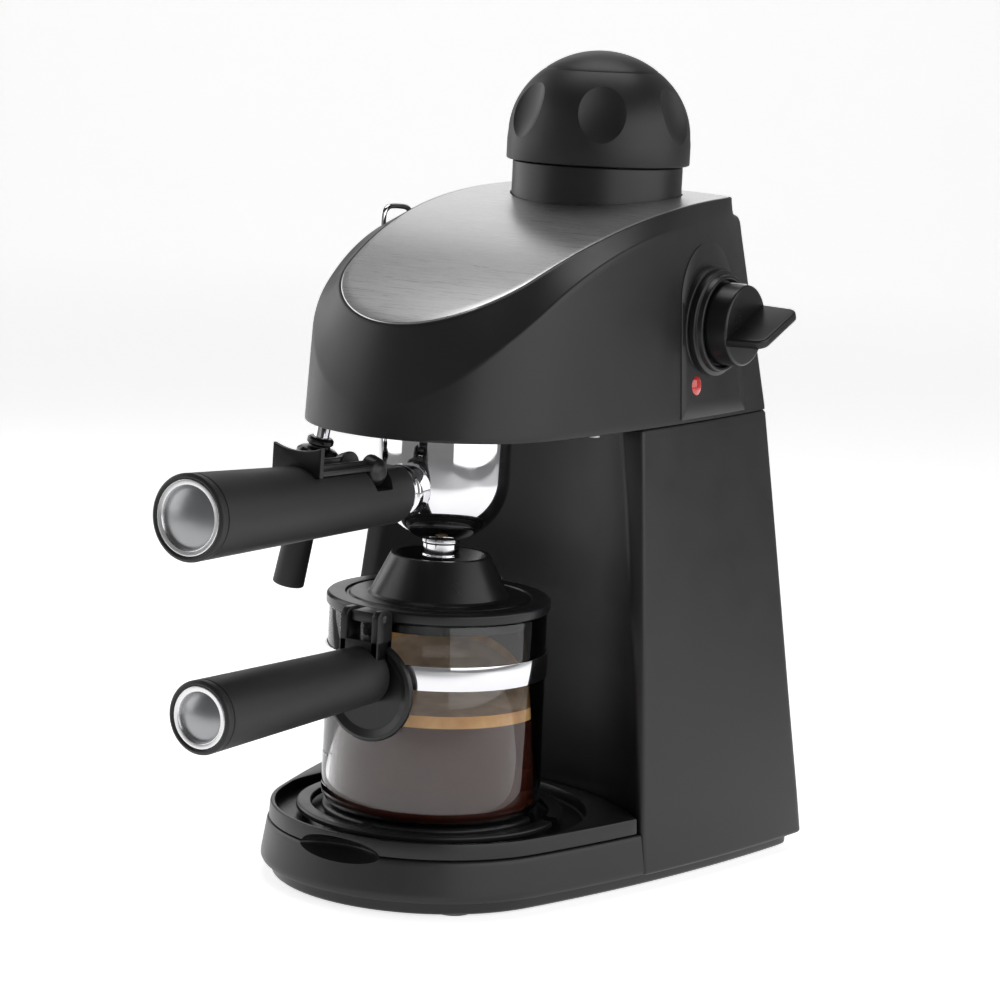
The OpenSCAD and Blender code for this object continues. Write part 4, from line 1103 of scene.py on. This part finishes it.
def make_band():
    lo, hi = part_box("carafe_band")
    r = (hi.x - lo.x) / 2 / MM
    profile = fillet([(r - 0.68, lo.z / MM, 0), (r, lo.z / MM, 0.15), (r, hi.z / MM, 0.15), (r - 0.68, hi.z / MM, 0)],
                     3, closed=True)
    piece("band", lathe(profile, 192, closed=True), BAND, "carafe_band")


def make_lid():
    """Lid with a groove, a rolled rim and the funnel that catches the spout."""
    rim_z = top("carafe_glass")
    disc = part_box("carafe_lid")[1].z / MM - 15.7
    r = GLASS_R + 0.6
    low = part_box("carafe_lid")[0].z / MM
    profile = fillet([
        (5, disc - 3, 0.3), (36.6, disc - 3, 0.3), (36.6, low, 0.3), (39.2, low, 0.5), (39.2, rim_z + 0.05, 0.2),
        (r, rim_z + 0.05, 0.6), (r, disc - 0.9, 0.6), (r - 0.9, disc, 0.6), (36.2, disc, 0.3), (35.7, disc - 0.8, 0.3),
        (34.7, disc - 0.8, 0.3), (34.2, disc, 0.3), (27.6, disc, 0.4), (26.6, disc + 0.9, 0.5), (19.3, LID_Z, 0.5), (17.4, LID_Z, 0.5),
        (7, disc + 2, 1.0), (5, disc, 0.5)], 4, closed=True)
    tab = block((-5, -GLASS_R - 8.5, rim_z + 0.15), (5, -GLASS_R + 3, rim_z + 4.3), 0.6)
    piece("lid", joined(lathe(profile, 192, closed=True), tab), TRIM, "carafe_lid", crease=35)


def make_bracket():
    """Hinge bracket of the lid: two round-topped ears with a rivet, and a foot on the handle."""
    lo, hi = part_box("lid_bracket")
    y0, y1 = lo.y / MM - BREW_Y, hi.y / MM - BREW_Y
    z0, z1 = lo.z / MM, hi.z / MM
    half = hi.x / MM
    pin = centre("lid_pin")
    foot = z0 - 6.5
    shapes = [block((-half, y0, foot), (half, y1, z0 + 2.5), 0.4)]
    for x in (-half, half - 3):
        outline = fillet([(y0, foot, 0.3), (y1, foot, 0.3), (y1, z1, 3.0), (y0, z1, 3.0)], 6, closed=True)
        turn = Matrix(((0, 0, 1, x), (1, 0, 0, 0), (0, 1, 0, 0), (0, 0, 0, 1)))
        shapes.append(moved(slab(outline, 0, 3, 0.4), turn))
    piece("lid_hinge", joined(*shapes), TRIM, "lid_bracket", crease=40)
    rivets = []
    for x, way in ((half, 1), (-half, -1)):
        head = lathe([(0, 0.75), (1.1, 0.65), (1.8, 0.3), (2.0, 0), (2.0, -0.3), (0, -0.3)], 32)
        turn = Matrix.Translation((x, pin.y - BREW_Y, pin.z)) @ Matrix.Rotation(math.radians(90 * way), 4, "Y")
        rivets.append(moved(head, turn))
    length = lathe([(0, -half + 3), (1.35, -half + 3), (1.35, half - 3), (0, half - 3)], 32)
    rivets.append(moved(length, Matrix.Translation((0, pin.y - BREW_Y, pin.z)) @ Matrix.Rotation(math.radians(90), 4, "Y")))
    piece("hinge_rod", joined(*rivets), TRIM, "lid_pin", crease=35)


def make_guard():
    """Round guard between the glass and the handle, dished towards the hand."""
    lo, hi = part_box("handle_guard")
    r = (hi.x - lo.x) / 2 / MM
    z = centre("handle_guard").z
    y0 = -(hi.y / MM - BREW_Y)
    thick = (hi.y - lo.y) / MM
    profile = fillet([(3.2, 0, 0), (r - 1.0, 0, 0.3), (r, 0.8, 0.6), (r, thick - 0.7, 0.7), (r - 1.6, thick, 0.6),
                      (r - 4.5, thick - 1.3, 1.2), (3.2, thick - 1.4, 0)], 4, closed=True)
    piece("guard", moved(lathe(profile, 128, closed=True), forward(y0, z)), TRIM, "handle_guard", crease=40)


def make_jug_handle():
    obj = make_grip("carafe_handle", "carafe_ring", "carafe_cap", JUG_Z, 11.2, 13.4, Matrix.Identity(4))
    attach(obj, "carafe")
    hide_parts("carafe_handle")


def make_level_marks():
    """Two short white level lines on the glass."""
    r = GLASS_R + 0.02
    shapes = []
    for z, start, end in ((49, 221, 233), (37, 221, 233)):
        rings = []
        for k in range(13):
            a = math.radians(mix(start, end, k / 12))
            rings.append([((r + d) * math.cos(a), (r + d) * math.sin(a), z + h)
                          for d, h in ((0, 0), (0.12, 0), (0.12, 0.45), (0, 0.45))])
        shapes.append(skin(rings))
    obj = piece("level_marks", joined(*shapes), WHITE, body="carafe", crease=40)


# ---- Underside, feet and trims -------------------------------------------------------------


def make_cover():
    """Sunken skirt under the base, between the moulding and the table."""
    z0, z1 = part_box("bottom_cover")[0].z / MM, BASE_Z + 0.3
    rings = []
    for z, inset in ((z0, 5.6), (z0 + 0.5, 4.9), (z0 + 1.2, 4.6), (z1, 4.5)):
        rings.append(mirrored([(column_half(y, BASE_Z, inset), y, z)
                               for y in stations(inset - FRONT_R["base"], BACK_Y - inset, 70)]))
    piece("skirt", skin(rings), TRIM, "bottom_cover", crease=40)


def make_feet():
    lo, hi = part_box("rubber_feet")
    shapes = []
    for x, y in ((-36, -36), (36, -36), (-68, 116), (68, 116)):
        foot = lathe(fillet([(0, 0, 0), (7.5, 0, 0.4), (8.0, 0.6, 0.4), (8.0, hi.z / MM, 0.1), (0, hi.z / MM, 0)], 4), 48)
        shapes.append(moved(foot, Matrix.Translation((x, y, 0))))
    piece("feet", joined(*shapes), RUBBER, "rubber_feet")


def make_gland():
    lo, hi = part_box("cord_gland")
    mid = (lo + hi) / 2 / MM
    length = (hi.y - lo.y) / MM
    r = (hi.x - lo.x) / 2 / MM
    profile = fillet([(3.4, 0, 0), (r, 0, 0.4), (r, 4, 0.4), (6.4, 4, 0.2), (6.4, length - 0.1, 0.8),
                      (3.4, length - 0.1, 0.6)], 4, closed=True)
    turn = Matrix.Translation((mid.x, lo.y / MM - BREW_Y, mid.z)) @ Matrix.Rotation(math.radians(-90), 4, "X")
    piece("gland", moved(lathe(profile, 64, closed=True), turn), RUBBER, "cord_gland")


# ---- Studio -------------------------------------------------------------------------------


BACKWARDS = (-0.537, 0.844, 0)
ACROSS = (0.844, 0.537, 0)


def glow_along(nodes, links, direction, start, end, fold=False):
    """A smooth step from 0 at start to 1 at end, along a direction on the floor."""
    coords = nodes.new("ShaderNodeTexCoord")
    dot = nodes.new("ShaderNodeVectorMath")
    dot.operation = "DOT_PRODUCT"
    dot.inputs[1].default_value = direction
    links.new(coords.outputs["Object"], dot.inputs[0])
    value = dot.outputs["Value"]
    if fold:
        size = nodes.new("ShaderNodeMath")
        size.operation = "ABSOLUTE"
        links.new(value, size.inputs[0])
        value = size.outputs["Value"]
    remap = nodes.new("ShaderNodeMapRange")
    remap.interpolation_type = "SMOOTHSTEP"
    remap.inputs["From Min"].default_value = start
    remap.inputs["From Max"].default_value = end
    links.new(value, remap.inputs["Value"])
    return remap.outputs["Result"]


def paper_material():
    """Pale paper, lit from behind where it serves as the backdrop."""
    material, nodes, links, shader = new_material("paper")
    cloud = noise(nodes, links, 3.0, 2.0)
    links.new(tint(nodes, links, cloud, (0.86, 0.86, 0.86), (0.9, 0.9, 0.9)), shader.inputs["Base Color"])
    shader.inputs["Roughness"].default_value = 0.9
    shader.inputs["Specular IOR Level"].default_value = 0.0
    shader.inputs["Emission Color"].default_value = (1, 1, 1, 1)
    behind = glow_along(nodes, links, BACKWARDS, -0.75, -0.3)
    beside = glow_along(nodes, links, ACROSS, 1.0, 0.65, fold=True)
    both = nodes.new("ShaderNodeMath")
    both.operation = "MULTIPLY"
    links.new(behind, both.inputs[0])
    links.new(beside, both.inputs[1])
    glow = nodes.new("ShaderNodeMapRange")
    glow.inputs["To Min"].default_value = 0.05
    glow.inputs["To Max"].default_value = 0.72
    links.new(both.outputs["Value"], glow.inputs["Value"])
    links.new(glow.outputs["Result"], shader.inputs["Emission Strength"])
    return material


def make_stage():
    """A pale floor that curves up into a wall all round, far from the object."""
    flat, wall, tall = 2.6, 1.4, 2.2
    profile = [(0, 0)] + [(flat * k / 8, 0) for k in range(1, 9)]
    profile += [(flat + wall * math.sin(math.radians(9 * k)), wall * (1 - math.cos(math.radians(9 * k))))
                for k in range(1, 11)]
    profile.append((flat + wall, wall + tall))
    verts, faces = lathe(profile, 96)
    mesh = bpy.data.meshes.new("studio_floor")
    mesh.from_pydata([Vector(v) for v in verts], [], faces)
    mesh.shade_smooth()
    mesh.materials.append(paper_material())
    floor = bpy.data.objects.new("studio_floor", mesh)
    bpy.context.scene.collection.objects.link(floor)


def aim(obj, target):
    obj.rotation_euler = (Vector(target) - obj.location).to_track_quat("-Z", "Y").to_euler()


def softbox(name, spot, target, size, power, spread_angle=120):
    light = bpy.data.lights.new(name, "AREA")
    light.shape = "RECTANGLE"
    light.size, light.size_y = size
    light.energy = power
    light.spread = math.radians(spread_angle)
    obj = bpy.data.objects.new(name, light)
    bpy.context.scene.collection.objects.link(obj)
    obj.location = spot
    aim(obj, target)
    return obj


def make_lights():
    softbox("panel_right", (1.05, 0.05, 0.5), (0, 0.05, 0.3), (2.1, 0.9), 7.0, 150)
    softbox("panel_left", (-1.05, -0.25, 0.5), (0, -0.25, 0.3), (1.6, 0.9), 4.5, 150)
    softbox("overhead", (-0.15, 0.35, 1.3), (0, 0.05, 0.1), (0.9, 0.6), 2.0, 120)
    world = bpy.data.worlds.new("studio")
    world.use_nodes = True
    background = world.node_tree.nodes["Background"]
    background.inputs["Color"].default_value = (1, 1, 1, 1)
    background.inputs["Strength"].default_value = 0.05
    bpy.context.scene.world = world
    bpy.context.scene.view_settings.view_transform = "Standard"


def make_camera():
    azimuth, elevation, roll = math.radians(32.47), math.radians(9.10), math.radians(2.67)
    distance, focal = 1352.4, 3403.5
    target = Vector((-5.24, 48.91, 142.29))
    back = Vector((math.sin(azimuth) * math.cos(elevation), -math.cos(azimuth) * math.cos(elevation),
                   math.sin(elevation)))
    right = (-back).cross(Vector((0, 0, 1))).normalized()
    up = right.cross(-back)
    across = right * math.cos(roll) + up * math.sin(roll)
    above = up * math.cos(roll) - right * math.sin(roll)
    data = bpy.data.cameras.new("camera")
    data.sensor_width = 36.0
    data.lens = focal * 36.0 / 1000
    data.clip_start = 0.05
    data.clip_end = 60
    camera = bpy.data.objects.new("camera", data)
    bpy.context.scene.collection.objects.link(camera)
    basis = Matrix((across, above, back)).transposed().to_4x4()
    camera.matrix_world = Matrix.Translation(place(target + back * distance)) @ basis
    bpy.context.scene.camera = camera


make_camera()
make_column()
make_base()
make_head()
make_knob_panel()
make_plate()
make_collar()
make_cap()
make_knob()
make_lamp()
make_bail()
make_cup()
make_spout()
make_neck()
make_portafilter_handle()
make_clip()
make_wand()
make_tray()
make_grille()
make_glass()
make_band()
make_lid()
make_bracket()
make_guard()
make_jug_handle()
make_level_marks()
make_cover()
make_feet()
make_gland()
make_lights()
make_stage()
